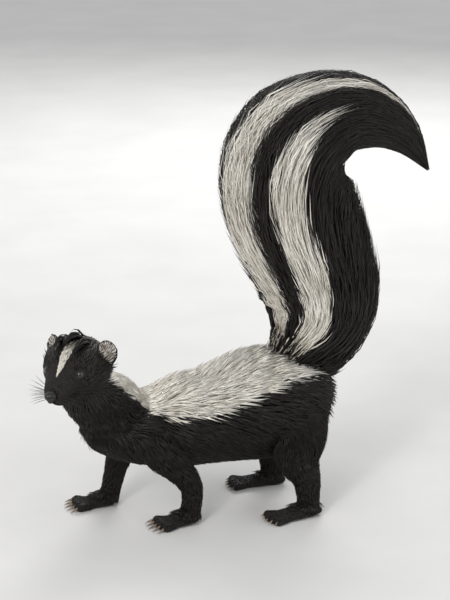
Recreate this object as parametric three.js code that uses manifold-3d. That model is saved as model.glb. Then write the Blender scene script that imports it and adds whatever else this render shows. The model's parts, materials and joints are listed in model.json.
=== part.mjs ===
// A striped skunk, life size, in a slow walk, with its head turned to its left and its tail raised in an S.
// Millimetres, +Z up. The nose points towards -X, the left side faces -Y, and the paws stand on Z = 0.
import * as THREE from "three";
import { mergeVertices } from "three/addons/utils/BufferGeometryUtils.js";
import Module from "manifold-3d";

const wasm = await Module();
wasm.setup();
const { Manifold, Mesh: SolidMesh } = wasm;

// Driving dimensions
const BEND_LIMIT = 0.85; // how much of a bend's radius a form fills at most
const GAP = 0.35; // clear space between two nodes that meet
const SEED = 8; // start of the random draw that varies the locks
const HEAD_AT = [-167, -27, 177]; // middle of the skull
const HEAD_TURN = 50; // degrees to the animal's left
const HEAD_NOD = 8; // degrees down
const EYE_RADIUS = 5;
const EYE_AT = [27, 16.6, 7.2]; // left eye, in the head's own frame
const EAR_AT = [-9, 31, 16];
const TAIL_TURN = 45; // degrees that the raised tail is turned to the left
const TAIL_BONE = 10; // radius of the tail under its hair
const BACK_COAT = 24; // depth of the coat on the back, on the belly and round the neck
const BELLY_COAT = 10;
const NECK_COAT = 15;
const LOCK_FILL = 0.9; // width of a lock as a share of its place in the row

const FUR_BLACK = 0x15120f;
const FUR_WHITE = 0xe9e4d8;
const SKIN_DARK = 0x2a2422;
const EYE_DARK = 0x0c0806;
const NOSE_DARK = 0x1a1413;

// Helpers

function seededRandom(seed) {
  let state = seed;
  return () => {
    state = (state + 0x6d2b79f5) | 0;
    let mixed = Math.imul(state ^ (state >>> 15), 1 | state);
    mixed = (mixed + Math.imul(mixed ^ (mixed >>> 7), 61 | mixed)) ^ mixed;
    return ((mixed ^ (mixed >>> 14)) >>> 0) / 4294967296;
  };
}
const random = seededRandom(SEED);
const vary = (amount) => amount * (2 * random() - 1);

const vec = (x, y, z) => new THREE.Vector3(x, y, z);
const mix = THREE.MathUtils.lerp;
const clamp = THREE.MathUtils.clamp;
const deg = THREE.MathUtils.degToRad;
const SIDES = { left: -1, right: 1 }; // the sign of Y on each side

// A closed geometry as a solid, with its faces turned outwards.
function solidOf(geometry) {
  const bare = geometry.clone();
  bare.deleteAttribute("normal");
  bare.deleteAttribute("uv");
  const merged = mergeVertices(bare, 1e-4);
  const corners = merged.attributes.position.array;
  const triangles = new Uint32Array(merged.index.array);
  const make = () => new Manifold(new SolidMesh({ numProp: 3, vertProperties: corners, triVerts: triangles }));
  const made = make();
  if (made.volume() > 0) return made;
  for (let i = 0; i < triangles.length; i += 3) {
    [triangles[i + 1], triangles[i + 2]] = [triangles[i + 2], triangles[i + 1]];
  }
  return make();
}

// Only the largest closed surface of a solid, without sealed hollows and loose scraps.
function largest(solid) {
  return solid.decompose().reduce((a, b) => (b.volume() > a.volume() ? b : a));
}

const join = (...solids) => Manifold.union(solids.flat());
const without = (solid, ...others) => (others.flat().length ? solid.subtract(join(others.flat())) : solid);

// Moves every vertex of a geometry to where a function puts it.
function warp(geometry, move) {
  const position = geometry.attributes.position;
  for (let i = 0; i < position.count; i += 1) {
    const p = move(vec(0, 0, 0).fromBufferAttribute(position, i));
    position.setXYZ(i, p.x, p.y, p.z);
  }
  return geometry;
}

// A ball or egg, with its radii, its place and its turns in degrees.
function egg(radii, at, turns = [0, 0, 0], detail = [14, 10]) {
  const ball = new THREE.SphereGeometry(1, ...detail);
  ball.scale(...radii).rotateX(deg(turns[0])).rotateY(deg(turns[1])).rotateZ(deg(turns[2]));
  return solidOf(ball.translate(...at));
}

// A form swept along a smooth path. A station has a place, a half width, and heights over and under the path.
class Form {
  constructor(stations, { side = vec(0, 1, 0), roll = () => 0, roundStart = 0, roundEnd = 0 } = {}) {
    this.path = new THREE.CatmullRomCurve3(stations.map((s) => vec(...s.at)));
    this.sizes = new THREE.CatmullRomCurve3(stations.map((s) => vec(s.wide, s.up, s.down ?? s.up)));
    this.path.arcLengthDivisions = 240;
    this.lengths = this.path.getLengths();
    Object.assign(this, { side, roll, roundStart, roundEnd });
  }

  // The parameter that lies a number of millimetres further along the path.
  onwards(t, distance) {
    const place = clamp(t, 0, 1) * 240;
    const index = Math.min(Math.floor(place), 239);
    const arc = mix(this.lengths[index], this.lengths[index + 1], place - index) + distance;
    return this.path.getUtoTmapping(0, clamp(arc, 0, this.lengths[240] - 1e-6));
  }

  // The vector towards the inside of the bend, as long as one over the bend's radius.
  bend(t) {
    const [before, after] = [Math.max(t - 0.02, 0), Math.min(t + 0.02, 1)];
    const distance = this.path.getPoint(before).distanceTo(this.path.getPoint(after));
    return this.path.getTangent(after).sub(this.path.getTangent(before)).divideScalar(distance);
  }

  rounding(t) {
    const start = t < this.roundStart ? 1 - t / this.roundStart : 0;
    const end = t > 1 - this.roundEnd ? 1 - (1 - t) / this.roundEnd : 0;
    return Math.sqrt(Math.max(0, 1 - start ** 2)) * Math.sqrt(Math.max(0, 1 - end ** 2));
  }

  frame(t) {
    const along = this.path.getTangent(t);
    const across = this.side.clone().addScaledVector(along, -this.side.dot(along)).normalize();
    across.applyAxisAngle(along, this.roll(t));
    return { centre: this.path.getPoint(t), along, across, up: along.clone().cross(across) };
  }

  // A place in the form: angle 0 is on top, and share 1 is the outline.
  point(t, angle, share = 1, grow = 0) {
    const f = this.frame(t);
    const size = this.sizes.getPoint(t);
    const round = this.rounding(t);
    const height = Math.cos(angle) >= 0 ? size.y : size.z;
    const out = f.up
      .multiplyScalar(Math.cos(angle) * (height * share * round + grow))
      .addScaledVector(f.across, Math.sin(angle) * (size.x * share * round + grow));
    const inward = Math.max(out.dot(this.bend(t)), 0) / BEND_LIMIT;
    return f.centre.addScaledVector(out, (1 + inward ** 3) ** (-1 / 3));
  }

  // The closed solid from one parameter to another. shareAt gives its size as a share of the outline.
  solid({ around, steps, from = 0, to = 1, shareAt = () => 1, grow = 0 }) {
    const tube = new THREE.CylinderGeometry(1, 1, 1, around, steps);
    return solidOf(
      warp(tube, (p) => {
        const t = mix(from, to, clamp(p.y + 0.5, 0, 1));
        const radius = Math.hypot(p.x, p.z);
        const angle = Math.atan2(p.x, p.z);
        const place = this.point(t, angle, shareAt(t, angle) * radius, grow * radius);
        const end = Math.abs(p.y) > 0.499 ? Math.sign(p.y) : 0;
        return place.addScaledVector(this.frame(t).along, grow * end);
      }),
    );
  }

  // A slab let into the form's core, from `deep` mm under it up to it, between angle(t, -1) and angle(t, 1).
  slab({ from, to, steps, acrossSteps, angleAt, shareAt, deep, proud = 0, grow = 0 }) {
    const box = new THREE.BoxGeometry(1, 1, 1, acrossSteps, 1, steps);
    return solidOf(
      warp(box, (p) => {
        const t = mix(from, to, p.z + 0.5);
        const angle = angleAt(t, 2 * p.x);
        const size = this.sizes.getPoint(t);
        const turn = Math.sign(angleAt(t, 1) - angleAt(t, -1));
        const widen = (1.3 * turn * grow * 2 * p.x) / Math.max(size.x * shareAt(t), 1);
        const depth = p.y > 0 ? proud + 3 * grow : -deep - 1.5 * grow;
        const place = this.point(t, angle + widen, shareAt(t), depth);
        const end = Math.abs(p.z) > 0.499 ? Math.sign(p.z) : 0;
        return place.addScaledVector(this.frame(t).along, grow * end);
      }),
    );
  }
}

// A flat tapered lock, of low three-sided section, that lies along a form. Its root is sunk in at share `root`,
// and it rises to share `tip` of the outline as it runs `length` mm on.
function lock(form, { t, angle, length, width, thick, root, tip, sway = 0, rings = 2 }, grow = 0) {
  // corner 0 of the section at share s of the length is its ridge, and 1 and -1 are its edges
  const along = (s) => form.onwards(t, length * s + Math.sign(length) * grow * (s < 0.001 ? -1 : s > 0.999 ? 2 : 0));
  const corner = (s, k) => {
    const place = along(s);
    const share = mix(root, tip, Math.sin((s * Math.PI) / 2) ** 0.85);
    const belly = 0.42 + 0.58 * Math.sin(Math.PI * Math.min(1.1 * s + 0.05, 1));
    const halfWidth = (width / 2) * belly * (1 - s ** 4);
    const halfThick = (thick / 2) * (1 - 0.75 * s);
    const radius = Math.max(form.sizes.getPoint(place).x * share, 8);
    const turn = angle + sway * s * s + (k * halfWidth) / radius;
    return form.point(place, turn, share, k === 0 ? halfThick : -0.5 * halfThick);
  };
  return solidOf(
    warp(new THREE.ConeGeometry(1, 1, 3, rings), (p) => {
      const s = clamp(p.y + 0.5, 0, 1);
      if (s > 0.999) return form.point(along(1), angle + sway, tip);
      if (Math.hypot(p.x, p.z) < 1e-6) return corner(0, 0).add(corner(0, 1)).add(corner(0, -1)).divideScalar(3);
      const k = Math.round(Math.atan2(p.x, p.z) / deg(120));
      const at = corner(s, k);
      const [one, other] = [-1, 0, 1].filter((j) => j !== k).map((j) => corner(s, j).sub(at).normalize());
      const halfAngle = Math.acos(clamp(one.dot(other), -1, 1)) / 2;
      return at.addScaledVector(one.add(other).normalize(), (-1.2 * grow) / Math.sin(Math.max(halfAngle, 0.1)));
    }),
  );
}

// Locks side by side in one row, over the arc between two angles.
function rowOfLocks(from, to, radius, spacing, shift = 0) {
  const count = Math.max(1, Math.round((Math.abs(to - from) * radius) / spacing));
  return Array.from({ length: count }, (_, k) => ({
    angle: mix(from, to, (k + 0.5 + shift) / count) + vary(0.02),
    width: (LOCK_FILL * Math.abs(to - from) * radius) / count,
  }));
}

// Torso

const torso = new Form(
  [
    { at: [-163, 0, 96], wide: 36, up: 36, down: 36 }, // breast
    { at: [-114, 0, 103], wide: 48, up: 43, down: 43 }, // shoulders
    { at: [-62, 0, 101], wide: 55, up: 47, down: 49 }, // ribs
    { at: [-12, 0, 103], wide: 60, up: 52, down: 52 }, // belly
    { at: [38, 0, 109], wide: 66, up: 62, down: 59 }, // loins
    { at: [82, 0, 108], wide: 62, up: 61, down: 52 }, // hips
    { at: [119, 0, 104], wide: 46, up: 46, down: 44 }, // rump
  ],
  { roundStart: 0.16, roundEnd: 0.2 },
);

// Neck

const neck = new Form(
  [
    { at: [-172, -29, 177], wide: 29, up: 24, down: 25 }, // skull
    { at: [-156, -17, 157], wide: 34, up: 29, down: 33 }, // throat
    { at: [-137, -6, 136], wide: 39, up: 33, down: 38 }, // neck
    { at: [-106, 0, 111], wide: 43, up: 37, down: 40 }, // withers
  ],
  { roundStart: 0.2, roundEnd: 0.2 },
);

// Tail, out to the ends of its hair

const tail = new Form(
  [
    { at: [80, 0, 152], wide: 36, up: 36 }, // root, inside the rump
    { at: [97, 0, 178], wide: 52, up: 52 },
    { at: [104, 0, 210], wide: 62, up: 62 },
    { at: [101, 0, 241], wide: 67, up: 67 },
    { at: [92, 0, 270], wide: 69, up: 69 },
    { at: [80, 0, 301], wide: 72, up: 72 },
    { at: [71, 0, 333], wide: 75, up: 75 },
    { at: [71, 0, 365], wide: 76, up: 76 },
    { at: [83, 0, 392], wide: 70, up: 70 },
    { at: [105, 0, 409], wide: 56, up: 56 }, // end of the bone
    { at: [134, 0, 416], wide: 45, up: 45 },
    { at: [163, 0, 410], wide: 35, up: 35 },
    { at: [190, 0, 395], wide: 23, up: 23 },
    { at: [210, 0, 373], wide: 12, up: 12 },
    { at: [227, 0, 347], wide: 0.6, up: 0.6 }, // tip of the hair
  ],
  { roll: (t) => deg(TAIL_TURN) * THREE.MathUtils.smoothstep(t, -0.12, 0.16) },
);

// Legs, from the trunk down to the paw

const LEGS = {
  foreleg_left: [
    { at: [-94, -30, 104], wide: 20, up: 26, down: 26 }, // shoulder
    { at: [-82, -38, 80], wide: 18, up: 22, down: 21 }, // upper arm
    { at: [-62, -42, 58], wide: 15, up: 17, down: 15 }, // elbow
    { at: [-50, -42, 38], wide: 12.5, up: 13.5, down: 13 }, // forearm
    { at: [-51, -41, 9], wide: 11.5, up: 11, down: 12 }, // wrist
  ],
  foreleg_right: [
    { at: [-100, 30, 104], wide: 20, up: 26, down: 26 },
    { at: [-105, 36, 80], wide: 18, up: 22, down: 21 },
    { at: [-106, 38, 58], wide: 15, up: 17, down: 15 },
    { at: [-111, 37, 38], wide: 12.5, up: 13.5, down: 13 },
    { at: [-118, 36, 9], wide: 11.5, up: 11, down: 12 },
  ],
  hindleg_left: [
    { at: [72, -32, 110], wide: 24, up: 32, down: 36 }, // hip
    { at: [68, -46, 84], wide: 22, up: 30, down: 33 }, // thigh
    { at: [62, -55, 62], wide: 17, up: 25, down: 24 }, // knee
    { at: [71, -58, 42], wide: 13, up: 17, down: 17 }, // shank
    { at: [74, -59, 9], wide: 11, up: 11.5, down: 13 }, // ankle
  ],
  hindleg_right: [
    { at: [72, 32, 110], wide: 24, up: 32, down: 36 },
    { at: [66, 42, 84], wide: 22, up: 30, down: 33 },
    { at: [56, 45, 62], wide: 17, up: 25, down: 24 },
    { at: [65, 43, 42], wide: 13, up: 17, down: 17 },
    { at: [68, 41, 9], wide: 11, up: 11.5, down: 13 },
  ],
};

// Paws: the place of the ankle or wrist on the ground, the turn to the outside, and the sizes.
const FORE_SIZES = { heel: 9, palm: 26, wide: 13, tall: 13, toe: 15, toeRadius: 4.6, claw: 14, clawRadius: 1.9 };
const HIND_SIZES = { heel: 15, palm: 38, wide: 13, tall: 12, toe: 14, toeRadius: 4.4, claw: 7, clawRadius: 1.7 };
const PAWS = {
  forepaw_left: { ankle: [-52, -41], turn: 6, ...FORE_SIZES },
  forepaw_right: { ankle: [-120, 36], turn: -4, ...FORE_SIZES },
  hindpaw_left: { ankle: [73, -59], turn: 8, ...HIND_SIZES },
  hindpaw_right: { ankle: [67, 41], turn: -8, ...HIND_SIZES },
};

// One claw: a cone bent down along an arc, from its root in the toe.
function claw(length, radius, at, turn) {
  const cone = new THREE.ConeGeometry(1, 1, 3, 2);
  return solidOf(
    warp(cone, (p) => {
      const s = p.y + 0.5;
      const place = vec(-length * (s - 0.25), radius * p.x, radius * p.z * 1.2 - 0.32 * length * s * s);
      return place.applyAxisAngle(vec(0, 0, 1), turn).add(vec(...at));
    }),
  );
}

// One paw: a flat-soled palm, five toes in a fan and their claws, cut off at the floor.
function paw({ ankle, turn, heel, palm, wide, tall, toe, toeRadius, claw: clawLength, clawRadius }, grow = 0) {
  const palmForm = new Form(
    [
      { at: [heel, 0, tall * 0.45], wide: wide * 0.72, up: tall * 0.55, down: tall * 0.6 },
      { at: [0, 0, tall * 0.6], wide: wide * 0.92, up: tall * 0.75, down: tall * 0.8 },
      { at: [-palm * 0.6, 0, tall * 0.42], wide: wide * 1.05, up: tall * 0.5, down: tall * 0.6 },
      { at: [-palm, 0, tall * 0.34], wide: wide * 1.1, up: tall * 0.36, down: tall * 0.5 },
    ],
    { side: vec(0, -1, 0), roundStart: 0.25, roundEnd: 0.1 },
  );
  const parts = [palmForm.solid({ around: 8, steps: 4, grow })];
  for (let i = 0; i < 5; i += 1) {
    const spread = (i - 2) / 2; // -1 on one side of the paw, 1 on the other
    const fan = deg(-16 * spread);
    const back = 1 - Math.abs(spread) ** 1.5 * 0.35;
    const root = vec(-palm * (0.72 + 0.2 * back), spread * wide * 0.84, toeRadius * 0.9);
    const direction = vec(-1, 0, 0).applyAxisAngle(vec(0, 0, 1), fan);
    const middle = root.clone().addScaledVector(direction, toe * 0.42);
    const radii = [toe * 0.62, toeRadius, toeRadius].map((r) => r + grow);
    parts.push(egg(radii, middle.toArray(), [0, 0, -16 * spread], [5, 4]));
    const end = root.clone().addScaledVector(direction, toe * 0.85).setZ(toeRadius * 1.05);
    parts.push(claw(clawLength * (0.8 + 0.2 * back), clawRadius, end.toArray(), fan));
  }
  const whole = join(parts).rotate([0, 0, turn]).translate([ankle[0], ankle[1], -1]);
  return largest(whole.trimByPlane([0, 0, 1], -grow));
}

// Head, in its own frame: x to the nose, y to the left, z up

const head = new Form(
  [
    { at: [-37, 0, 1], wide: 31, up: 25, down: 26 }, // back of the skull
    { at: [-17, 0, 1], wide: 36, up: 28, down: 28 }, // ears
    { at: [3, 0, 1], wide: 36, up: 28.5, down: 27 }, // cheeks
    { at: [20, 0, 0], wide: 28, up: 24.5, down: 20 }, // eyes
    { at: [33, 0, -2], wide: 19.5, up: 18, down: 13.5 }, // bridge
    { at: [46, 0, -4.5], wide: 14, up: 12.5, down: 9.2 }, // muzzle
    { at: [57, 0, -5], wide: 10.5, up: 8.8, down: 7.2 }, // end of the muzzle
  ],
  { roundStart: 0.22, roundEnd: 0.12 },
);
const jaw = new Form(
  [
    { at: [-4, 0, -19], wide: 18, up: 7, down: 9 }, // angle of the jaw
    { at: [16, 0, -19], wide: 15.5, up: 6, down: 6.5 },
    { at: [34, 0, -18], wide: 11, up: 4.2, down: 5 },
    { at: [50, 0, -16.2], wide: 7.6, up: 2.8, down: 4 }, // chin
  ],
  { roundStart: 0.3, roundEnd: 0.2 },
);
const headFrame = new THREE.Object3D();
headFrame.position.set(...HEAD_AT);
headFrame.rotation.set(0, deg(HEAD_NOD), deg(180 + HEAD_TURN), "ZYX");
headFrame.updateMatrix();
const fromHead = (solid) => solid.transform([...headFrame.matrix.elements]);

// A ball in a place of the head's own frame, turned to face along a direction.
function facing(radii, at, direction, spin = 0, detail = [14, 10]) {
  const look = vec(...direction).normalize();
  const across = vec(0, 0, 1).cross(look).normalize();
  const up = look.clone().cross(across);
  const ball = new THREE.SphereGeometry(1, ...detail);
  ball.scale(...radii).rotateX(deg(spin));
  return solidOf(ball.applyMatrix4(new THREE.Matrix4().makeBasis(look, across, up).setPosition(...at)));
}

const mirror = (at, side) => [at[0], -side * at[1], at[2]]; // the left side is y > 0 in the head's frame
const EYE_LOOK = [0.52, 0.8, 0.26];
const UPPER_LIP = [
  [57.5, 1.5, -11.4],
  [52, 7.4, -12.2],
  [43, 11.4, -13.2],
  [33, 14.4, -15.4],
  [24, 17.8, -18.4],
];
const LOWER_LIP = [
  [54.4, 1.2, -14.7],
  [50.5, 5.2, -14.9],
  [42, 8.8, -15.9],
  [33, 11.8, -17.4],
  [24, 15, -19.8],
];

function lips(points, radius, grow) {
  return Object.values(SIDES).map((side) => {
    const form = new Form(
      points.map((at) => ({ at: mirror(at, side), wide: radius + grow, up: 0.8 * radius + grow })),
      { side: vec(0, 0.25, 1).normalize(), roundStart: 0.08, roundEnd: 0.2 },
    );
    return form.solid({ around: 4, steps: 5 });
  });
}

// Locks of the head: the tuft of the crown, which falls forwards, and the ruffs of the cheeks
const CROWN = [
  { t: 0.2, angle: -0.22, length: 31, width: 10, thick: 3, root: 0.9, tip: 1.34, sway: -0.1 },
  { t: 0.17, angle: 0.02, length: 34, width: 11, thick: 3, root: 0.9, tip: 1.42, sway: -0.2 },
  { t: 0.2, angle: 0.26, length: 29, width: 10, thick: 3, root: 0.9, tip: 1.3, sway: -0.15 },
];
const CHEEKS = [86, 108, 130].flatMap((angle, i) =>
  Object.values(SIDES).map((side) => ({
    t: 0.47 - 0.02 * i,
    angle: side * deg(angle),
    length: -30 + 2 * i,
    width: 17,
    thick: 3.6,
    root: 0.9,
    tip: 1.13,
    sway: side * 0.1,
  })),
);

function headParts(grow) {
  const parts = [head.solid({ around: 16, steps: 11, grow }), ...lips(UPPER_LIP, 1.7, grow)];
  Object.values(SIDES).forEach((side) => {
    const look = mirror(EYE_LOOK, side);
    const lids = [5.9, 8.2, 7].map((r) => r + grow);
    parts.push(facing(lids, mirror(EYE_AT, side), look, side * 8, [9, 6]));
    const pad = mirror([49, 5, -8], side);
    parts.push(egg([9.5, 6.6, 5.4].map((r) => r + grow), pad, [0, 4, side * 10], [8, 6])); // whisker pad
  });
  return [...parts, ...[...CROWN, ...CHEEKS].map((sizes) => lock(head, sizes, grow))];
}

const jawParts = (grow) => [jaw.solid({ around: 10, steps: 6, grow }), ...lips(LOWER_LIP, 1.5, grow)];

// What the eyes, the mouth and the blaze take out of the head
function headCuts() {
  const cuts = [];
  Object.values(SIDES).forEach((side) => {
    const eye = mirror(EYE_AT, side);
    const look = mirror(EYE_LOOK, side);
    const opening = vec(...look).normalize().multiplyScalar(5).add(vec(...eye)).toArray();
    cuts.push(facing(Array(3).fill(EYE_RADIUS + GAP), eye, look, 0, [10, 7]));
    cuts.push(facing([3.2, 4.7, 3.2], opening, look, side * 8, [10, 5])); // slit between the lids
  });
  return cuts;
}

function nosePad(grow) {
  return join(
    egg([6.2, 6.4, 4.8].map((r) => r + grow), [60.5, 0, -3.4], [0, 12, 0], [10, 7]),
    egg([4.6, 3.2, 4].map((r) => r + grow), [61, 0, -7.2], [0, 0, 0], [8, 5]),
  );
}

function nose() {
  const cuts = [egg([3, 0.55, 5], [66.8, 0, -5], [0, 8, 0], [6, 6])];
  Object.values(SIDES).forEach((side) => {
    cuts.push(egg([2.4, 1.5, 1.25], mirror([66, 2.9, -3.6], side), [0, 0, side * -20], [8, 5]));
    cuts.push(egg([2.6, 1.6, 0.7], mirror([63.6, 5.4, -4.8], side), [side * -20, 0, side * 30], [8, 4]));
  });
  return without(nosePad(0), cuts);
}

function ear(side) {
  const look = mirror([0.72, 0.62, 0.22], side);
  const spot = vec(...mirror(EAR_AT, side));
  const inner = spot.clone().addScaledVector(vec(...look).normalize(), 4.2).add(vec(0, 0, 0.8));
  const shell = facing([6.4, 11.6, 13.2], spot.toArray(), look, 0, [11, 8]);
  const notch = facing([6.6, 8.9, 10.2], inner.toArray(), look, 0, [10, 7]);
  return without(shell, notch);
}

// The half angle of the white saddle along the back, from the withers to the tail
function interpolate(knots, x) {
  const last = knots.length - 1;
  if (x <= knots[0][0]) return knots[0][1];
  for (let i = 0; i < last; i += 1) {
    if (x <= knots[i + 1][0]) {
      const share = (x - knots[i][0]) / (knots[i + 1][0] - knots[i][0]);
      return mix(knots[i][1], knots[i + 1][1], THREE.MathUtils.smoothstep(share, 0, 1));
    }
  }
  return knots[last][1];
}
const SADDLE = [[0.2, 34], [0.3, 56], [0.4, 65], [0.55, 61], [0.72, 46], [0.85, 38], [0.95, 34]];
const saddleAt = (t) => deg(interpolate(SADDLE, t));
const NAPE = [[0.05, 14], [0.4, 26], [0.8, 34]];
const napeAt = (t) => deg(interpolate(NAPE, t));

// The two white bands of the tail: from an inner to an outer angle beside its dorsal line
const BANDS = {
  left: {
    end: 0.66,
    inner: [[0, 3], [0.14, 10], [0.3, 11], [0.5, 10], [0.64, 22]],
    outer: [[0, 70], [0.07, 45], [0.14, 36], [0.25, 41], [0.5, 38], [0.64, 27]],
  },
  right: {
    end: 0.84,
    inner: [[0, 2], [0.14, 10], [0.5, 10], [0.64, 3], [0.83, 8]],
    outer: [[0, 24], [0.14, 31], [0.28, 45], [0.5, 49], [0.64, 27], [0.83, 15]],
  },
};
const bandAt = (side, edge, t) => SIDES[side] * deg(interpolate(BANDS[side][edge], t));

// The dense part of the trunk's coat reaches half way to its tips. Its locks grow down to the edge of the belly.
const TRUNK_RADIUS = 56;
const TRUNK_SPACING = 30;
const FLANK_END = deg(134);
const coatAt = (angle) => mix(BACK_COAT, BELLY_COAT, THREE.MathUtils.smoothstep(Math.abs(angle), 0.5, 2.4));
const coreAt = (t, angle) => 1 - (0.5 * coatAt(angle)) / TRUNK_RADIUS;

// Rows of locks on the trunk: the white saddle's, and the black ones down each flank. A row has a place along the
// body and a length in mm. The foremost is clear of the neck, and the last of the tail.
const TRUNK_ROWS = [
  { at: 0.12, length: 60, clear: 1.1 },
  { at: 0.25, length: 60 },
  { at: 0.38, length: 60 },
  { at: 0.51, length: 60 },
  { at: 0.64, length: 58 },
  { at: 0.77, length: 46, clear: 0.9 },
];

function trunkLocks() {
  const locks = { black: [], white: [] };
  TRUNK_ROWS.forEach(({ at, length, clear = 0 }, i) => {
    const edge = saddleAt(torso.onwards(at, length / 2));
    const shift = i % 2 ? 0.12 : -0.12;
    const grown = ({ angle, width }) => ({
      t: at + vary(0.01),
      angle,
      length: length + vary(4),
      width,
      thick: 4.6,
      root: coreAt(at, angle) - 0.06,
      tip: 1.03 + vary(0.015),
      sway: vary(0.04),
    });
    const isClear = ({ angle }) => Math.abs(angle) > clear;
    locks.white.push(...rowOfLocks(-edge, edge, TRUNK_RADIUS, TRUNK_SPACING, shift).filter(isClear).map(grown));
    Object.values(SIDES).forEach((side) => {
      const flank = rowOfLocks(side * (edge + 0.04), side * FLANK_END, TRUNK_RADIUS, TRUNK_SPACING, shift);
      locks.black.push(...flank.filter(isClear).map(grown));
    });
  });
  return locks;
}

const NECK_RADIUS = 36;
const NECK_SPACING = 36;
const NECK_CORE = 1 - (0.5 * NECK_COAT) / NECK_RADIUS;
const NECK_ROWS = [0.22, 0.5];

function neckLocks() {
  const locks = { black: [], white: [] };
  NECK_ROWS.forEach((at, i) => {
    const edge = napeAt(at) + 0.1;
    const shift = i % 2 ? 0.12 : -0.12;
    const grown = ({ angle, width }) => ({
      t: at,
      angle,
      length: 38 + vary(3),
      width,
      thick: 4.4,
      root: NECK_CORE - 0.08,
      tip: 1.03 + vary(0.02),
      sway: vary(0.06),
    });
    locks.white.push(...rowOfLocks(-edge, edge, NECK_RADIUS, NECK_SPACING).map(grown));
    locks.black.push(...rowOfLocks(edge, 2 * Math.PI - edge, NECK_RADIUS, NECK_SPACING, shift).map(grown));
  });
  return locks;
}

const trunkHair = trunkLocks();
const neckHair = neckLocks();

function saddleParts(grow) {
  const slab = torso.slab({
    from: 0.15,
    to: 0.83,
    steps: 8,
    acrossSteps: 4,
    angleAt: (t, u) => u * saddleAt(t),
    shareAt: (t) => coreAt(t, 0),
    deep: 7,
    proud: 0.6,
    grow,
  });
  return [slab, ...trunkHair.white.map((sizes) => lock(torso, sizes, grow))];
}

function napeParts(grow) {
  const slab = neck.slab({
    from: 0.12,
    to: 0.78,
    steps: 6,
    acrossSteps: 4,
    angleAt: (t, u) => u * napeAt(t),
    shareAt: () => NECK_CORE,
    deep: 6,
    proud: 0.6,
    grow,
  });
  return [slab, ...neckHair.white.map((sizes) => lock(neck, sizes, grow))];
}

function blazeParts(grow) {
  return [
    head.slab({
      from: 0.3,
      to: 0.74,
      steps: 5,
      acrossSteps: 2,
      angleAt: (t, u) => u * deg(mix(5, 10, t)),
      shareAt: () => 1,
      deep: 2.6,
      proud: 0.5,
      grow,
    }),
  ];
}

function torsoParts(grow) {
  const core = torso.solid({ around: 15, steps: 9, shareAt: coreAt, grow });
  return [core, ...trunkHair.black.map((sizes) => lock(torso, sizes, grow))];
}

function neckParts(grow) {
  const core = neck.solid({ around: 12, steps: 5, shareAt: () => NECK_CORE, grow });
  return [core, ...neckHair.black.map((sizes) => lock(neck, sizes, grow))];
}

// Tail lengths: from and to are stations of the tail
const STATIONS = 14;
const LENGTHS = {
  tail_root: { from: 0, to: 2, steps: 3, bands: ["left", "right"] },
  tail_lower: { from: 2, to: 4, steps: 3, bands: ["left", "right"] },
  tail_middle: { from: 4, to: 6.5, steps: 3, bands: ["left", "right"] },
  tail_upper: { from: 6.5, to: 9, steps: 4, bands: ["left", "right"] },
  tail_tip: { from: 9, to: 14, steps: 6, bands: ["right"] },
};

// The tail's core reaches half way from the skin to the tips of the hair.
const tailCore = (t) => 0.5 * (1 + Math.min(TAIL_BONE / tail.sizes.getPoint(t).x, 0.3));

// Rows of tail locks: those of each white band, a narrow one on the dorsal line, and the rest round the back.
// A row has a place along the bone and a length of lock, both in mm. They are shorter at the root.
const TAIL_ROWS = [[4, 46], [24, 66], [48, 88]];
const ROW_SPACING = 44;
const TAIL_LOCK = 104;
const BAND_SPACING = 30;
const TAIL_SPACING = 60;
while (TAIL_ROWS.at(-1)[0] < tail.lengths[240] - 100) {
  TAIL_ROWS.push([TAIL_ROWS.at(-1)[0] + ROW_SPACING, TAIL_LOCK]);
}

function tailLocks() {
  const made = { black: [], left: [], right: [] };
  const total = tail.lengths[240];
  TAIL_ROWS.forEach(([arc, fullLength], i) => {
    const t = tail.path.getUtoTmapping(0, arc);
    const radius = tail.sizes.getPoint(t).x;
    const length = Math.min(fullLength, total - arc - 4);
    const at = tail.onwards(t, length * 0.5); // where the bands are read
    const grown = (place) => ({
      t: clamp(t + vary(0.003), 0, 1),
      length,
      rings: 3,
      thick: 4.6,
      root: tailCore(t) - 0.09,
      tip: 1.04 + vary(0.03),
      sway: vary(0.04),
      ...place,
    });
    const running = Object.keys(SIDES).filter((side) => at <= BANDS[side].end);
    running.forEach((side) => {
      const row = rowOfLocks(bandAt(side, "inner", at), bandAt(side, "outer", at), radius, BAND_SPACING);
      made[side].push(...row.map(grown));
    });
    if (running.length === 2) made.black.push(grown({ angle: 0, width: 10, tip: 1.02 }));
    const turned = 0.5 * (i % 2);
    const start = running.includes("right") ? bandAt("right", "outer", at) : turned;
    const end = running.includes("left") ? bandAt("left", "outer", at) : turned;
    const last = running.length === 1 ? bandAt("right", "inner", at) : end;
    const shift = i % 2 ? 0.15 : -0.15;
    made.black.push(...rowOfLocks(start, 2 * Math.PI + last, radius, TAIL_SPACING, shift).map(grown));
  });
  return made;
}
const hair = tailLocks();
const inLength = ({ from, to }) => ({ t }) => t >= from / STATIONS && t < to / STATIONS;

function tailParts(length, grow) {
  const { from, to, steps } = length;
  const [start, end] = [from / STATIONS, to / STATIONS];
  const core = tail.solid({ around: 9, steps, from: start, to: end, shareAt: tailCore, grow });
  return [core, ...hair.black.filter(inLength(length)).map((sizes) => lock(tail, sizes, grow))];
}

function bandParts(length, side, grow) {
  const { from, to, steps } = length;
  const slab = tail.slab({
    from: Math.max(from / STATIONS, 0.02),
    to: Math.min(to / STATIONS, BANDS[side].end - 0.02),
    steps,
    acrossSteps: 2,
    angleAt: (t, u) => mix(bandAt(side, "inner", t), bandAt(side, "outer", t), (u + 1) / 2),
    shareAt: tailCore,
    deep: 7.5,
    proud: 0.6,
    grow,
  });
  return [slab, ...hair[side].filter(inLength(length)).map((sizes) => lock(tail, sizes, grow))];
}

// Putting the nodes together. A node that yields has the grown room of each neighbour taken out of it.

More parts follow.
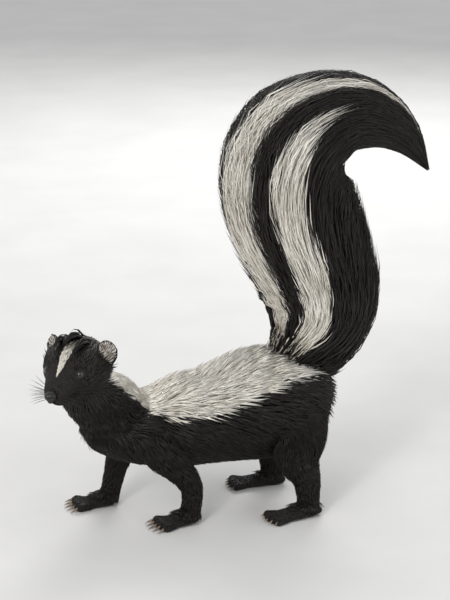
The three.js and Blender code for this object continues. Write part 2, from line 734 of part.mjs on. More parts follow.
const skunk = new THREE.Group();
function add(name, solid, color, roughness = 0.85) {
  const { vertProperties, triVerts, numProp } = largest(solid).getMesh();
  const geometry = new THREE.BufferGeometry();
  const flat = [];
  for (let i = 0; i < vertProperties.length; i += numProp) flat.push(...vertProperties.slice(i, i + 3));
  geometry.setAttribute("position", new THREE.Float32BufferAttribute(flat, 3));
  geometry.setIndex([...triVerts]);
  geometry.computeVertexNormals();
  const mesh = new THREE.Mesh(geometry, new THREE.MeshStandardMaterial({ color, roughness, metalness: 0 }));
  mesh.name = name;
  skunk.add(mesh);
}

// Where a wide lock twists, its grown form can miss a sliver of it, so the room holds both.
const roomOf = (parts) => join(parts(GAP), parts(0));
const torsoRoom = roomOf(torsoParts);
const saddleRoom = roomOf(saddleParts);
add("torso", without(join(torsoParts(0)), saddleRoom), FUR_BLACK);
add("back_stripe", join(saddleParts(0)), FUR_WHITE);

const jawRoom = join(jawParts(GAP));
const headRoom = fromHead(join(roomOf(headParts), jawRoom));
const napeRoom = roomOf(napeParts);
add("neck", without(join(neckParts(0)), torsoRoom, saddleRoom, napeRoom, headRoom), FUR_BLACK);
add("nape_stripe", without(join(napeParts(0)), torsoRoom, saddleRoom, headRoom), FUR_WHITE);

const blazeRoom = join(blazeParts(GAP));
const headSolid = without(join(headParts(0)), headCuts(), jawRoom, blazeRoom, nosePad(GAP));
add("head", fromHead(headSolid), FUR_BLACK);
add("blaze", fromHead(join(blazeParts(0))), FUR_WHITE);
add("lower_jaw", fromHead(join(jawParts(0))), FUR_BLACK);
add("nose", fromHead(nose()), NOSE_DARK, 0.35);
Object.entries(SIDES).forEach(([name, side]) => {
  const eyeBall = facing(Array(3).fill(EYE_RADIUS), mirror(EYE_AT, side), mirror(EYE_LOOK, side), 0, [11, 7]);
  add(`eye_${name}`, fromHead(eyeBall), EYE_DARK, 0.1);
  add(`ear_${name}`, without(fromHead(ear(side)), headRoom), SKIN_DARK);
});

Object.entries(PAWS).forEach(([name, sizes]) => add(name, paw(sizes), SKIN_DARK));
Object.entries(LEGS).forEach(([name, stations]) => {
  const leg = new Form(stations, { roundStart: 0.12 });
  const pawRoom = paw(PAWS[name.replace("leg", "paw")], GAP);
  add(name, without(leg.solid({ around: 9, steps: 6 }), torsoRoom, pawRoom), FUR_BLACK);
});

const earlier = [torsoRoom, saddleRoom];
Object.entries(LENGTHS).forEach(([name, length]) => {
  const bandRooms = length.bands.map((side) => roomOf((grow) => bandParts(length, side, grow)));
  add(name, without(join(tailParts(length, 0)), earlier, bandRooms), FUR_BLACK);
  length.bands.forEach((side) => {
    add(`${name}_stripe_${side}`, without(join(bandParts(length, side, 0)), earlier), FUR_WHITE);
  });
  earlier.push(roomOf((grow) => tailParts(length, grow)), ...bandRooms);
});

// The origin is in the middle of the whole, on the floor.
const bounds = new THREE.Box3().setFromObject(skunk);
const middle = bounds.getCenter(vec(0, 0, 0));
skunk.children.forEach((mesh) => mesh.geometry.translate(-middle.x, -middle.y, -bounds.min.z));

export default skunk;
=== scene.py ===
# %% [markdown]
# # A striped skunk, as a life-size museum model
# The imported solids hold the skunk's forms with its coat on them, out to the tips of the hair.
# This script follows the way a taxidermist works. First comes the skin over the body, which is much
# leaner than the coat makes it look. Then come the eyes, the nose and the claws, and then the hair,
# tuft by tuft, in the directions in which it grows.

import json
import math

import bmesh
import bpy
import numpy as np
from mathutils import Matrix, Vector
from mathutils.bvhtree import BVHTree

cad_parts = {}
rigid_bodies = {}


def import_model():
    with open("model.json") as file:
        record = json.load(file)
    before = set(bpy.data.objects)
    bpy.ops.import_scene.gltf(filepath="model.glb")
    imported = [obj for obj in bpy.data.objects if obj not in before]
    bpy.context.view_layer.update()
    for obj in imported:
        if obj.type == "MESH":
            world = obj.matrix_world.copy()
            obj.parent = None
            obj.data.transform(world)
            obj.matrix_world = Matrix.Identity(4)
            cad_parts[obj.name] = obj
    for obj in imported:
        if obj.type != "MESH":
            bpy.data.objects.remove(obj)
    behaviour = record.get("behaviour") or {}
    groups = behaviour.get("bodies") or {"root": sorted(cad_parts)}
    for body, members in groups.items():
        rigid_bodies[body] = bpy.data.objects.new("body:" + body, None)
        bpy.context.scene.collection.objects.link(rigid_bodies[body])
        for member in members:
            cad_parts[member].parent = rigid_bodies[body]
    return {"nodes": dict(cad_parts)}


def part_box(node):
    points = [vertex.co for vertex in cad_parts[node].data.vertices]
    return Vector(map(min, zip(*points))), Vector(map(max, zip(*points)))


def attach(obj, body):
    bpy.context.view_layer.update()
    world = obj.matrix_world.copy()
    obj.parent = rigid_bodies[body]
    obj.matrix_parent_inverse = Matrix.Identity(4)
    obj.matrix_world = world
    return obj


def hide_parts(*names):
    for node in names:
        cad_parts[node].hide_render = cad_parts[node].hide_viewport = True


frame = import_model()
rng = np.random.default_rng(8)
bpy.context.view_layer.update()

# %% [markdown]
# ## The forms
# The solids are swept forms: a path with three half sizes (to the side, up and down) along it.
# The same stations are used again here, in millimetres, so that a place on the skin can be named by its
# form, by t from 0 to 1 along the path, and by the angle round it from the top. Markings and the lie of
# the hair are easy to say in these terms, as they are on a real animal.

# %% A curve through stations
def catmull(points, t):
    points = np.asarray(points, float)
    padded = np.vstack([2 * points[0] - points[1], points, 2 * points[-1] - points[-2]])
    place = np.clip(t, 0, 1) * (len(points) - 1)
    i = np.minimum(place.astype(int), len(points) - 2)
    w = (place - i)[:, None]
    p0, p1, p2, p3 = (padded[i + k] for k in range(4))
    gap = lambda a, b: np.maximum(np.sum((a - b) ** 2, axis=1, keepdims=True) ** 0.25, 1e-4)
    d0, d1, d2 = gap(p0, p1), gap(p1, p2), gap(p2, p3)
    m1 = ((p1 - p0) / d0 - (p2 - p0) / (d0 + d1) + (p2 - p1) / d1) * d1
    m2 = ((p2 - p1) / d1 - (p3 - p1) / (d1 + d2) + (p3 - p2) / d2) * d1
    return p1 + m1 * w + (3 * (p2 - p1) - 2 * m1 - m2) * w**2 + (2 * (p1 - p2) + m1 + m2) * w**3


def unit(v):
    return v / np.maximum(np.linalg.norm(v, axis=-1, keepdims=True), 1e-9)


def smooth(x, low=0.0, high=1.0):
    x = np.clip((x - low) / (high - low), 0, 1)
    return x * x * (3 - 2 * x)


# %% A swept form
SAMPLES = 321  # places along a form at which its path and sizes are kept
BEND_LIMIT = 0.85  # the share of a bend's radius beyond which a form is drawn in, so that it can't fold
END_SLACK = 0.3  # how far past the end of a form a point may be, in half widths, and still be counted in


class Form:
    """Places in and on a form. Angle 0 is on top, and share 1 is the outline."""

    def __init__(self, stations, side=(0, 1, 0), roll=None, round_start=0.0, round_end=0.0):
        stations = np.array(stations, float)
        self.t = np.linspace(0, 1, SAMPLES)
        self.centre = catmull(stations[:, :3], self.t)
        self.sizes = catmull(stations[:, 3:6], self.t)
        along = unit(np.gradient(self.centre, axis=0))
        across = unit(np.array(side, float) - along * (along @ np.array(side, float))[:, None])
        turn = (roll(self.t) if roll else np.zeros(SAMPLES))[:, None]
        self.across = across * np.cos(turn) + np.cross(along, across) * np.sin(turn)
        self.along = along
        self.up = np.cross(along, self.across)
        steps = np.linalg.norm(np.gradient(self.centre, axis=0), axis=1, keepdims=True)
        self.bend = np.gradient(along, axis=0) / steps
        self.length = float(np.sum(np.linalg.norm(np.diff(self.centre, axis=0), axis=1)))
        start = np.clip(1 - self.t / round_start, 0, 1) if round_start else np.zeros(SAMPLES)
        end = np.clip(1 - (1 - self.t) / round_end, 0, 1) if round_end else np.zeros(SAMPLES)
        self.rounding = (np.sqrt(1 - start**2) * np.sqrt(1 - end**2))[:, None]

    def at(self, table, t):
        place = np.clip(t, 0, 1) * (SAMPLES - 1)
        i = np.minimum(place.astype(int), SAMPLES - 2)
        w = (place - i)[..., None]
        return table[i] * (1 - w) + table[i + 1] * w

    def way(self, t):
        """The direction of the path at t."""
        return self.at(self.along, t)

    def point(self, t, angle, share=1.0):
        size = self.at(self.sizes, t) * self.at(self.rounding, t)
        cosine, sine = np.cos(angle), np.sin(angle)
        height = np.where(cosine >= 0, size[..., 1], size[..., 2])
        out = self.at(self.up, t) * (cosine * height * share)[..., None]
        out = out + self.at(self.across, t) * (sine * size[..., 0] * share)[..., None]
        inward = np.maximum(np.sum(out * self.at(self.bend, t), axis=-1), 0) / BEND_LIMIT
        return self.at(self.centre, t) + out * ((1 + inward**3) ** (-1 / 3))[..., None]

    def locate(self, points):
        """The place of each point in the form: t, the angle, and the share of the outline."""
        t = np.empty(len(points))
        for i in range(0, len(points), 4000):
            gaps = points[i : i + 4000, None, :] - self.centre[None, ::4, :]
            t[i : i + 4000] = self.t[::4][np.argmin(np.sum(gaps**2, axis=2), axis=1)]
        out = points - self.at(self.centre, t)
        rise = np.sum(out * self.at(self.up, t), axis=1)
        aside = np.sum(out * self.at(self.across, t), axis=1)
        size = self.at(self.sizes, t)
        height = np.where(rise >= 0, size[:, 1], size[:, 2])
        share = np.sqrt((rise / height) ** 2 + (aside / size[:, 0]) ** 2)
        beyond = np.abs(np.sum(out * self.way(t), axis=1)) / size[:, 0]
        return t, np.arctan2(aside / size[:, 0], rise / height), share + np.maximum(beyond - END_SLACK, 0)


# %% [markdown]
# ## Stations of the coat's outline
# Each row is a place and the half sizes there: to the side, up and down. They are the ones that the
# solids are made from, with the coat in them.

# %% Trunk, neck and tail
TORSO = [
    [-163, 0, 96, 36, 36, 36],
    [-114, 0, 103, 48, 43, 43],
    [-62, 0, 101, 55, 47, 49],
    [-12, 0, 103, 60, 52, 52],
    [38, 0, 109, 66, 62, 59],
    [82, 0, 108, 62, 61, 52],
    [119, 0, 104, 46, 46, 44],
]
NECK = [
    [-172, -29, 177, 29, 24, 25],
    [-156, -17, 157, 34, 29, 33],
    [-137, -6, 136, 39, 33, 38],
    [-106, 0, 111, 43, 37, 40],
]
TAIL_PATH = [
    [80, 152, 36],
    [97, 178, 52],
    [104, 210, 62],
    [101, 241, 67],
    [92, 270, 69],
    [80, 301, 72],
    [71, 333, 75],
    [71, 365, 76],
    [83, 392, 70],
    [105, 409, 56],
    [134, 416, 45],
    [163, 410, 35],
    [190, 395, 23],
    [210, 373, 12],
    [227, 347, 0.6],
]
TAIL = [[x, 0, z, radius, radius, radius] for x, z, radius in TAIL_PATH]
BONE_STATIONS = 10  # the tail's bones end at the tenth station, and only hair goes on from there

# %% Legs
FORE = [(20, 26, 26), (18, 22, 21), (15, 17, 15), (12.5, 13.5, 13), (11.5, 11, 12)]
HIND = [(24, 32, 36), (22, 30, 33), (17, 25, 24), (13, 17, 17), (11, 11.5, 13)]
LEG_PATHS = {
    "foreleg_left": [(-94, -30, 104), (-82, -38, 80), (-62, -42, 58), (-50, -42, 38), (-51, -41, 9)],
    "foreleg_right": [(-100, 30, 104), (-105, 36, 80), (-106, 38, 58), (-111, 37, 38), (-118, 36, 9)],
    "hindleg_left": [(72, -32, 110), (68, -46, 84), (62, -55, 62), (71, -58, 42), (74, -59, 9)],
    "hindleg_right": [(72, 32, 110), (66, 42, 84), (56, 45, 62), (65, 43, 42), (68, 41, 9)],
}
LEGS = {
    name: [[*at, *size] for at, size in zip(path, FORE if name.startswith("fore") else HIND)]
    for name, path in LEG_PATHS.items()
}
PAWS = {
    "forepaw_left": {"ankle": (-52, -41), "turn": 6},
    "forepaw_right": {"ankle": (-120, 36), "turn": -4},
    "hindpaw_left": {"ankle": (73, -59), "turn": 8},
    "hindpaw_right": {"ankle": (67, 41), "turn": -8},
}
PAW_SIZES = ["heel", "palm", "wide", "tall", "toe", "toe_radius", "claw", "root"]
FORE_PAW = dict(zip(PAW_SIZES, (9, 26, 13, 13, 15, 4.6, 14, 1.9)))
HIND_PAW = dict(zip(PAW_SIZES, (15, 38, 13, 12, 14, 4.4, 7, 1.7)))

# %% Head
HEAD = [
    [-37, 0, 1, 31, 25, 26],
    [-17, 0, 1, 36, 28, 28],
    [3, 0, 1, 36, 28.5, 27],
    [20, 0, 0, 28, 24.5, 20],
    [33, 0, -2, 19.5, 18, 13.5],
    [46, 0, -4.5, 14, 12.5, 9.2],
    [57, 0, -5, 10.5, 8.8, 7.2],
]
JAW = [
    [-4, 0, -19, 18, 7, 9],
    [16, 0, -19, 15.5, 6, 6.5],
    [34, 0, -18, 11, 4.2, 5],
    [50, 0, -16.2, 7.6, 2.8, 4],
]
HEAD_AT = np.array([-167.0, -27.0, 177.0])
HEAD_TURN, HEAD_NOD = 50, 8
EYE_AT = np.array([27, 16.6, 7.2])
EYE_LOOK = np.array([0.52, 0.8, 0.26])
EYE_RADIUS = 5.0
EAR_AT = np.array([-9.0, 31.0, 16.0])
EAR_LOOK = np.array([0.72, 0.62, 0.22])
turned = Matrix.Rotation(math.radians(180 + HEAD_TURN), 3, "Z")
HEAD_TURNED = np.array(turned @ Matrix.Rotation(math.radians(HEAD_NOD), 3, "Y"))


def from_head(points):
    return np.asarray(points, float) @ HEAD_TURNED.T + HEAD_AT


def to_head(points):
    return (np.asarray(points, float) - HEAD_AT) @ HEAD_TURNED


def mirror(at, side):
    """The same place on the left (side -1) or the right (side 1) of the head."""
    return np.array([at[0], -side * at[1], at[2]], float)


# %% [markdown]
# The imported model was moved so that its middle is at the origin. The left eye is a ball whose place is
# known exactly, so it tells how far.

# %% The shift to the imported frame
low, high = (np.array(corner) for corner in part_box("eye_left"))
SHIFT = from_head(mirror(EYE_AT, -1)) - (low + high) / 2 * 1000
SHIFT[2] = 0
print("drawing to frame, mm:", np.round(SHIFT, 2))


def place(points):
    """From the drawing's millimetres to the frame's metres."""
    return (np.asarray(points, float) - SHIFT) * 0.001


# %% [markdown]
# ## The skin
# Under 2 to 3 cm of hair a skunk is a lean animal with thin legs. The depth of the coat is taken off each
# form: most on the back, less on the flanks, least on the belly, legs and muzzle.

# %% Forms of the skin
def without_coat(stations, side, up, down, at_start=0.0, at_end=0.0):
    stations = np.array(stations, float)
    stations[0, :3] += unit(stations[1, :3] - stations[0, :3]) * at_start
    stations[-1, :3] += unit(stations[-2, :3] - stations[-1, :3]) * at_end
    for k, depth in enumerate([side, up, down]):
        stations[:, 3 + k] = np.maximum(stations[:, 3 + k] - np.array(depth), 0.5)
    return stations


LEG_COAT = np.array([7, 7, 6, 5, 4.5])
HEAD_COAT = np.array([9, 8.5, 7.5, 4, 1.8, 1, 0.8])
forms = {
    "torso": Form(without_coat(TORSO, 15, 24, 11, 13, 13), round_start=0.16, round_end=0.2),
    "neck": Form(without_coat(NECK, 12, 14, 13), round_start=0.2, round_end=0.2),
}
for name, stations in LEGS.items():
    forms[name] = Form(without_coat(stations, LEG_COAT, LEG_COAT, LEG_COAT), round_start=0.12)
head_skin = without_coat(HEAD, HEAD_COAT, 0.7 * HEAD_COAT, HEAD_COAT, 6, 0.5)
head_form = Form(head_skin, round_start=0.22, round_end=0.12)
head_outline = Form(HEAD, round_start=0.22, round_end=0.12)
jaw_form = Form(without_coat(JAW, [3, 2, 1, 0.5], 1, [3, 2, 1, 0.5]), round_start=0.3, round_end=0.2)
RUMP_ROOT = [58, 0, 120, 0, 0, 0]  # where the bones of the tail leave the pelvis
bone = np.array([RUMP_ROOT, *TAIL[:BONE_STATIONS]], float)
bone[:, 3:6] = np.linspace(16, 4, len(bone))[:, None]
bone_form = Form(bone, round_end=0.05)
TAIL_TURN = math.radians(45)
tail_form = Form(TAIL, roll=lambda t: TAIL_TURN * smooth(t, -0.12, 0.16))
BONE_END = (BONE_STATIONS - 1) / (len(TAIL) - 1)
print("tail, mm:", round(tail_form.length), "with bones up to", round(BONE_END, 2))

# %% [markdown]
# Each form is a ball of bmesh's, drawn out along the path. Balls for the lids, lips, ears and toes are
# warped in the same way, and a voxel remesh fuses all of them into one skin.

# %% Balls to warp
def ball(around, rings):
    mesh = bmesh.new()
    bmesh.ops.create_uvsphere(mesh, u_segments=around, v_segments=rings, radius=1)
    return mesh


def moved(mesh, points):
    for vertex, point in zip(mesh.verts, points):
        vertex.co = point
    return mesh


def corners(mesh):
    return np.array([vertex.co for vertex in mesh.verts])


def swept(form, around=40, rings=48):
    mesh = ball(around, rings)
    at = corners(mesh)
    t = np.arccos(np.clip(-at[:, 2], -1, 1)) / math.pi
    share = np.where(np.abs(at[:, 2]) > 0.99999, 0.0, 1.0)
    return moved(mesh, form.point(t, np.arctan2(at[:, 1], at[:, 0]), share))


def basis(look):
    look = unit(np.asarray(look, float))
    across = unit(np.cross([0, 0, 1], look))
    return np.array([look, across, np.cross(look, across)])


def egg(radii, at, look=(1, 0, 0), detail=(24, 16), warp=None):
    mesh = ball(*detail)
    points = corners(mesh)
    points = warp(points) if warp else points
    return moved(mesh, (points * radii) @ basis(look) + at)


def mapped(mesh, change):
    return moved(mesh, change(corners(mesh)))


# %% [markdown]
# ## The face in the skin
# The lids are a rim round each eye, the whisker pads swell the sides of the muzzle, and the lips meet in a
# line that runs back under them. An ear is a low round cup, open to the front and the side.

# %% Lids
def along_curve(points, radius, round_ends=(0.1, 0.2), flat=0.85):
    stations = [[*p, radius, radius * flat, radius * flat] for p in points]
    return Form(stations, side=(0, 0.25, 0.97), round_start=round_ends[0], round_end=round_ends[1])


LID_WIDTH, LID_RISE, LID_FALL = 4.7, 3.2, 2.9  # half sizes of the opening between the lids


def lid_rim(side, upper):
    """Half of the rim of an eye, as a row of places on the ball of the eye."""
    look, across, up = basis(mirror(EYE_LOOK, side))
    middle = mirror(EYE_AT, side)
    rim = []
    for turn in np.linspace(0, math.pi, 9):
        aside = LID_WIDTH * math.cos(turn)
        rise = (LID_RISE if upper else -LID_FALL) * math.sin(turn) ** 0.8
        depth = math.sqrt(max((EYE_RADIUS + 0.35) ** 2 - aside**2 - rise**2, 1.5))
        rim.append(middle + look * depth + across * aside + up * rise)
    return rim


# %% Lips and pads
UPPER_LIP = [(57.5, 1.5, -11.2), (52, 7.4, -12.0), (43, 11.4, -13.0), (33, 14.0, -15.2), (24, 16.5, -18.0)]
LOWER_LIP = [(54.4, 1.2, -14.9), (50.5, 5.2, -15.1), (42, 8.8, -16.1), (33, 11.6, -17.6), (24, 14, -20)]
EAR_RADII = np.array([6.2, 11.4, 13.0])


def cupped(points):
    """The front of an ear pushed in behind its rim."""
    points = points.copy()
    front = points[:, 0] > 0
    points[front, 0] = -0.42 * points[front, 0]
    return points


pieces = [swept(head_form, 56, 64), swept(jaw_form)]
for side in (-1, 1):
    for upper in (True, False):
        lid = along_curve(lid_rim(side, upper), 1.15 if upper else 0.95, (0.06, 0.06))
        pieces.append(swept(lid, 12, 32))
    look = unit(mirror(EYE_LOOK, side))
    pieces.append(egg((4.2, 8.4, 7.2), mirror(EYE_AT, side) - look * 1.6, look))
    pieces.append(egg((9.5, 6.4, 5.2), mirror((48.6, 4.6, -8), side)))
    for lip, radius in ((UPPER_LIP, 1.5), (LOWER_LIP, 1.3)):
        pieces.append(swept(along_curve([mirror(p, side) for p in lip], radius), 12, 32))
    pieces.append(egg(EAR_RADII, mirror(EAR_AT, side), mirror(EAR_LOOK, side), (40, 32), cupped))
    pieces.append(egg((7, 10, 9), mirror(EAR_AT - [4, 5, 8], side)))
face_parts = [mapped(piece, from_head) for piece in pieces]
print("parts of the head's skin:", len(face_parts))

# %% [markdown]
# ## Paws
# A skunk walks on flat feet, with five toes on each. The claws of the forefeet are long, for digging.

# %% Toes and palms
SUNK = 0.6  # a paw starts this much too low, and its sole is then cut off flat at the floor


def paw_frame(name):
    paw = PAWS[name]
    turn = math.radians(paw["turn"])
    cosine, sine = math.cos(turn), math.sin(turn)
    turned = np.array([[cosine, -sine, 0], [sine, cosine, 0], [0, 0, 1]])
    sizes = FORE_PAW if name.startswith("fore") else HIND_PAW
    return sizes, lambda points: np.asarray(points, float) @ turned.T + [*paw["ankle"], -SUNK]


def toes(sizes):
    """For each toe: its root, its direction, and how far forward it sits."""
    for i in range(5):
        spread = (i - 2) / 2
        fan = math.radians(-16 * spread)
        back = 1 - abs(spread) ** 1.5 * 0.35
        forward = -sizes["palm"] * (0.72 + 0.2 * back)
        root = np.array([forward, spread * sizes["wide"] * 0.84, sizes["toe_radius"] * 0.9])
        yield root, np.array([-math.cos(fan), -math.sin(fan), 0]), back


def paw_parts(name):
    sizes, to_ground = paw_frame(name)
    heel, palm, wide, tall = (sizes[k] for k in PAW_SIZES[:4])
    palm_form = Form(
        [
            [heel, 0, tall * 0.45, wide * 0.66, tall * 0.5, tall * 0.45],
            [0, 0, tall * 0.6, wide * 0.78, tall * 0.6, tall * 0.6],
            [-palm * 0.6, 0, tall * 0.42, wide * 0.98, tall * 0.42, tall * 0.42],
            [-palm, 0, tall * 0.34, wide * 1.02, tall * 0.32, tall * 0.34],
        ],
        side=(0, -1, 0),
        round_start=0.25,
        round_end=0.15,
    )
    made = [mapped(swept(palm_form, 28, 28), to_ground)]
    for root, direction, _ in toes(sizes):
        for share, length, radius in ((0.2, 0.5, 0.82), (0.62, 0.34, 0.92)):
            middle = root + direction * sizes["toe"] * share
            radii = (sizes["toe"] * length, sizes["toe_radius"] * radius, sizes["toe_radius"] * radius)
            made.append(mapped(egg(radii, middle, direction, (16, 12)), to_ground))
    return made


paw_pieces = [piece for name in PAWS for piece in paw_parts(name)]
print("parts of the paws:", len(paw_pieces))

# %% [markdown]
# The remesh works on a grid of about 1.5 mm, fine enough for the lids and toes. A few rounds of smoothing
# then take away the steps that it leaves, as modelling with a wet brush would.

# %% Fuse and smooth
SKIN_GRID, SKIN_ROUNDS = 0.00145, 4  # the grid in metres


def as_mesh(shape, name):
    mesh = bpy.data.meshes.new(name)
    shape.to_mesh(mesh)
    shape.free()
    return mesh


def added(name, data):
    """A new object in the scene."""
    made = bpy.data.objects.new(name, data)
    bpy.context.scene.collection.objects.link(made)
    return made


def joined(name, parts, change):
    whole = bmesh.new()
    for part in parts:
        piece = as_mesh(mapped(part, change), "part")
        whole.from_mesh(piece)
        bpy.data.meshes.remove(piece)
    bmesh.ops.recalc_face_normals(whole, faces=whole.faces)
    return added(name, as_mesh(whole, name))


def remeshed(made, voxel, rounds):
    fuse = made.modifiers.new("fuse", "REMESH")
    fuse.mode = "VOXEL"
    fuse.voxel_size = voxel
    shape = bpy.data.meshes.new_from_object(made.evaluated_get(bpy.context.evaluated_depsgraph_get()))
    made.modifiers.clear()
    made.data = shape
    smoothing = bmesh.new()
    smoothing.from_mesh(shape)
    for _ in range(rounds):
        bmesh.ops.smooth_vert(
            smoothing, verts=smoothing.verts, factor=0.5, use_axis_x=True, use_axis_y=True, use_axis_z=True
        )
    smoothing.to_mesh(shape)
    smoothing.free()
    shape.shade_smooth()
    return made


body_parts = [swept(forms["torso"], 64, 64), swept(forms["neck"], 48, 40)]
body_parts += [swept(forms[name]) for name in LEGS]
body_parts.append(swept(bone_form, 20, 60))
skin = remeshed(joined("skin", body_parts + face_parts + paw_pieces, place), SKIN_GRID, SKIN_ROUNDS)
for vertex in skin.data.vertices:
    vertex.co.z = max(vertex.co.z, 0)  # the soles rest flat on the floor
print("skin:", len(skin.data.vertices), "vertices")

# %% [markdown]
# ## Where each place of the skin lies
# Hair follows the nearest form. Near a joint two forms share a place, so the lie of the hair and the depth
# of the coat are mixed there, and the coat flows over from one to the other.

# %% Arrays of the skin
def mesh_arrays(mesh):
    mesh.calc_loop_triangles()
    at = np.empty(len(mesh.vertices) * 3)
    mesh.vertices.foreach_get("co", at)
    normals = np.empty(len(mesh.vertices) * 3)
    mesh.vertex_normals.foreach_get("vector", normals)
    corners_of = np.empty(len(mesh.loop_triangles) * 3, dtype=np.int32)
    mesh.loop_triangles.foreach_get("vertices", corners_of)
    at = at.reshape(-1, 3) * 1000 + SHIFT
    return at, normals.reshape(-1, 3), corners_of.reshape(-1, 3)


skin_at, skin_normal, skin_faces = mesh_arrays(skin.data)
skin_tree = BVHTree.FromPolygons(skin_at.tolist(), skin_faces.tolist())
print("skin covers, cm2:", round(sum(p.area for p in skin.data.polygons) * 1e4))


# %% Regions
BLEND = 7  # how quickly one region gives way to the next
HERE, FAR = 0.5, 9.0  # shares that give a region all of a place, or none of it
FOOT_REACH, FOOT_HEIGHT = 46, 11
REGIONS = ["torso", "neck", *LEGS, "head", "jaw", "ear_left", "ear_right", "paws", "bone"]


def in_ear(points, side):
    """Places in an ear's own frame: forwards, across and up."""
    return (to_head(points) - mirror(EAR_AT, side)) @ basis(mirror(EAR_LOOK, side)).T


def ear_share(points, side):
    return np.linalg.norm((in_ear(points, side) + [1, 0, 0]) / (EAR_RADII + 1), axis=1)


def ear_hollow(points, normal):
    """Whether a place of the skin is on the front of an ear, inside its rim."""
    inside = np.zeros(len(points), bool)
    for side in (-1, 1):
        local = in_ear(points, side)
        facing = (normal @ HEAD_TURNED) @ basis(mirror(EAR_LOOK, side))[0]
        near_middle = np.linalg.norm(local[:, 1:] / EAR_RADII[1:], axis=1) < 0.8
        inside |= near_middle & (facing > 0.15) & (np.abs(local[:, 0]) < 7)
    return inside


def located(points):
    """For each point, its t, angle and share in every region that has a form."""
    found = {name: form.locate(points) for name, form in forms.items()}
    in_head = to_head(points)
    found["head"] = head_form.locate(in_head)
    found["jaw"] = jaw_form.locate(in_head)
    found["bone"] = bone_form.locate(points)
    return found


def weights_of(points, found):
    """How much each region has to say at each point; the rows add up to 1."""
    shares = np.full((len(points), len(REGIONS)), FAR)
    for i, name in enumerate(REGIONS):
        if name in found:
            shares[:, i] = found[name][2]
    for i, side in ((REGIONS.index("ear_left"), -1), (REGIONS.index("ear_right"), 1)):
        inside = ear_share(points, side)
        shares[:, i] = np.where((inside < 1.25) & (found["head"][2] > 1.08), HERE, FAR)
    on_foot = np.full(len(points), False)
    for name in PAWS:
        away = np.linalg.norm(points[:, :2] - np.array(PAWS[name]["ankle"]) + [12, 0], axis=1)
        on_foot |= (away < FOOT_REACH) & (points[:, 2] < FOOT_HEIGHT)
    shares[:, REGIONS.index("paws")] = np.where(on_foot, HERE, FAR)
    weights = np.exp(-BLEND * (shares - shares.min(axis=1, keepdims=True)))
    return weights / weights.sum(axis=1, keepdims=True)


# %% [markdown]
# ## Markings
# A broad white cape runs from the nape over the back to the base of the tail. A narrow blaze marks the
# forehead, and two white bands climb the tail on either side of a black line. A band of short black hair
# parts them from the cape. This band is painted shade where the tail leaves the rump, and partly the black
# hairs that a real skunk has mixed in there. The edges are a little ragged, because single hairs cross
# them.

# %% White or black
SADDLE = [(0.1, 42), (0.2, 50), (0.3, 60), (0.4, 65), (0.55, 61), (0.72, 46), (0.85, 38), (0.95, 34)]
NAPE = [(0.05, 20), (0.4, 32), (0.75, 42), (1, 52)]
BANDS = {
    "left": {
        "end": 0.66,
        "inner": [(0, 3), (0.14, 10), (0.3, 11), (0.5, 10), (0.64, 22)],
        "outer": [(0, 70), (0.07, 45), (0.14, 36), (0.25, 41), (0.5, 38), (0.64, 27)],
    },
    "right": {
        "end": 0.84,
        "inner": [(0, 2), (0.14, 10), (0.5, 10), (0.64, 3), (0.83, 8)],
        "outer": [(0, 24), (0.14, 31), (0.28, 45), (0.5, 49), (0.64, 27), (0.83, 15)],
    },
}


def knots(table, t):
    return np.interp(t, [k for k, _ in table], [math.radians(v) for _, v in table])


def ragged(points, size):
    """A slow irregular wave from place to place, between about -1 and 1."""
    x, y, z = (points / size).T
    return (
        np.sin(x * 1.7 + 2.1 * np.sin(y * 0.9 + z * 0.4))
        + np.sin(y * 2.3 - 1.7 * np.sin(z * 1.1 + x * 0.6) + 1.3)
        + np.sin(z * 1.9 + 1.4 * np.sin(x * 0.8 - y * 0.7) + 4.1)
    ) / 3


def white_body(points, found, weights, jitter=0.0):
    """1 where the coat of the body is white."""
    blur = jitter * (rng.random(len(points)) - 0.5)
    wave = 0.05 * ragged(points, 9)
    region = np.argmax(weights, axis=1)
    t, angle, _ = found["torso"]
    saddle = (np.abs(angle) < knots(SADDLE, t) + blur + wave) & (t > 0.1) & (t < 0.83 + 0.2 * blur)
    t, angle, _ = found["neck"]
    nape = (np.abs(angle) < knots(NAPE, t) + blur + wave) & (t > 0.12)
    t, angle, _ = found["head"]
    half = np.radians(9.5) * np.sin(math.pi * np.clip((0.8 - t) / 0.62, 0, 1)) ** 0.7
    blaze = (np.abs(angle) < half * (1 + 5 * wave) + 0.2 * blur) & (t > 0.22) & (t < 0.77)
    on = lambda name: region == REGIONS.index(name)
    near_neck = found["neck"][2] < found["torso"][2] + 0.15
    cape = (on("torso") & saddle) | ((on("torso") | on("neck")) & nape & near_neck)
    return (cape | (on("head") & blaze)).astype(float)


def wrapped(angle):
    """The same angle between -pi and pi."""
    return np.mod(angle + math.pi, 2 * math.pi) - math.pi


def white_tail(t, angle, jitter=0.0):
    """1 where the hair of the tail is white."""
    angle = wrapped(angle)
    blur = jitter * (rng.random(len(t)) - 0.5)
    white = np.zeros(len(t), bool)
    for name, sign in (("left", -1), ("right", 1)):
        band = BANDS[name]
        away = sign * angle + blur
        inside = (away > knots(band["inner"], t)) & (away < knots(band["outer"], t))
        white |= inside & (t < band["end"] + 0.3 * blur)
    return white.astype(float)


skin_found = located(skin_at)
skin_weights = weights_of(skin_at, skin_found)
skin_white = white_body(skin_at, skin_found, skin_weights)
print("white share of the skin:", round(float(skin_white.mean()), 3))


# %% [markdown]
# ## Tufts
# One tuft stands for a few dozen hairs. It is a slim closed blade with a three-sided section and a pointed
# end, so it has a few faces only. All tufts of one piece are joined in one mesh. Each has a small patch of
# its own in the map OFBake, at the place of its root on the unrolled skin.

# %% Joined tufts
PATCH = 0.003


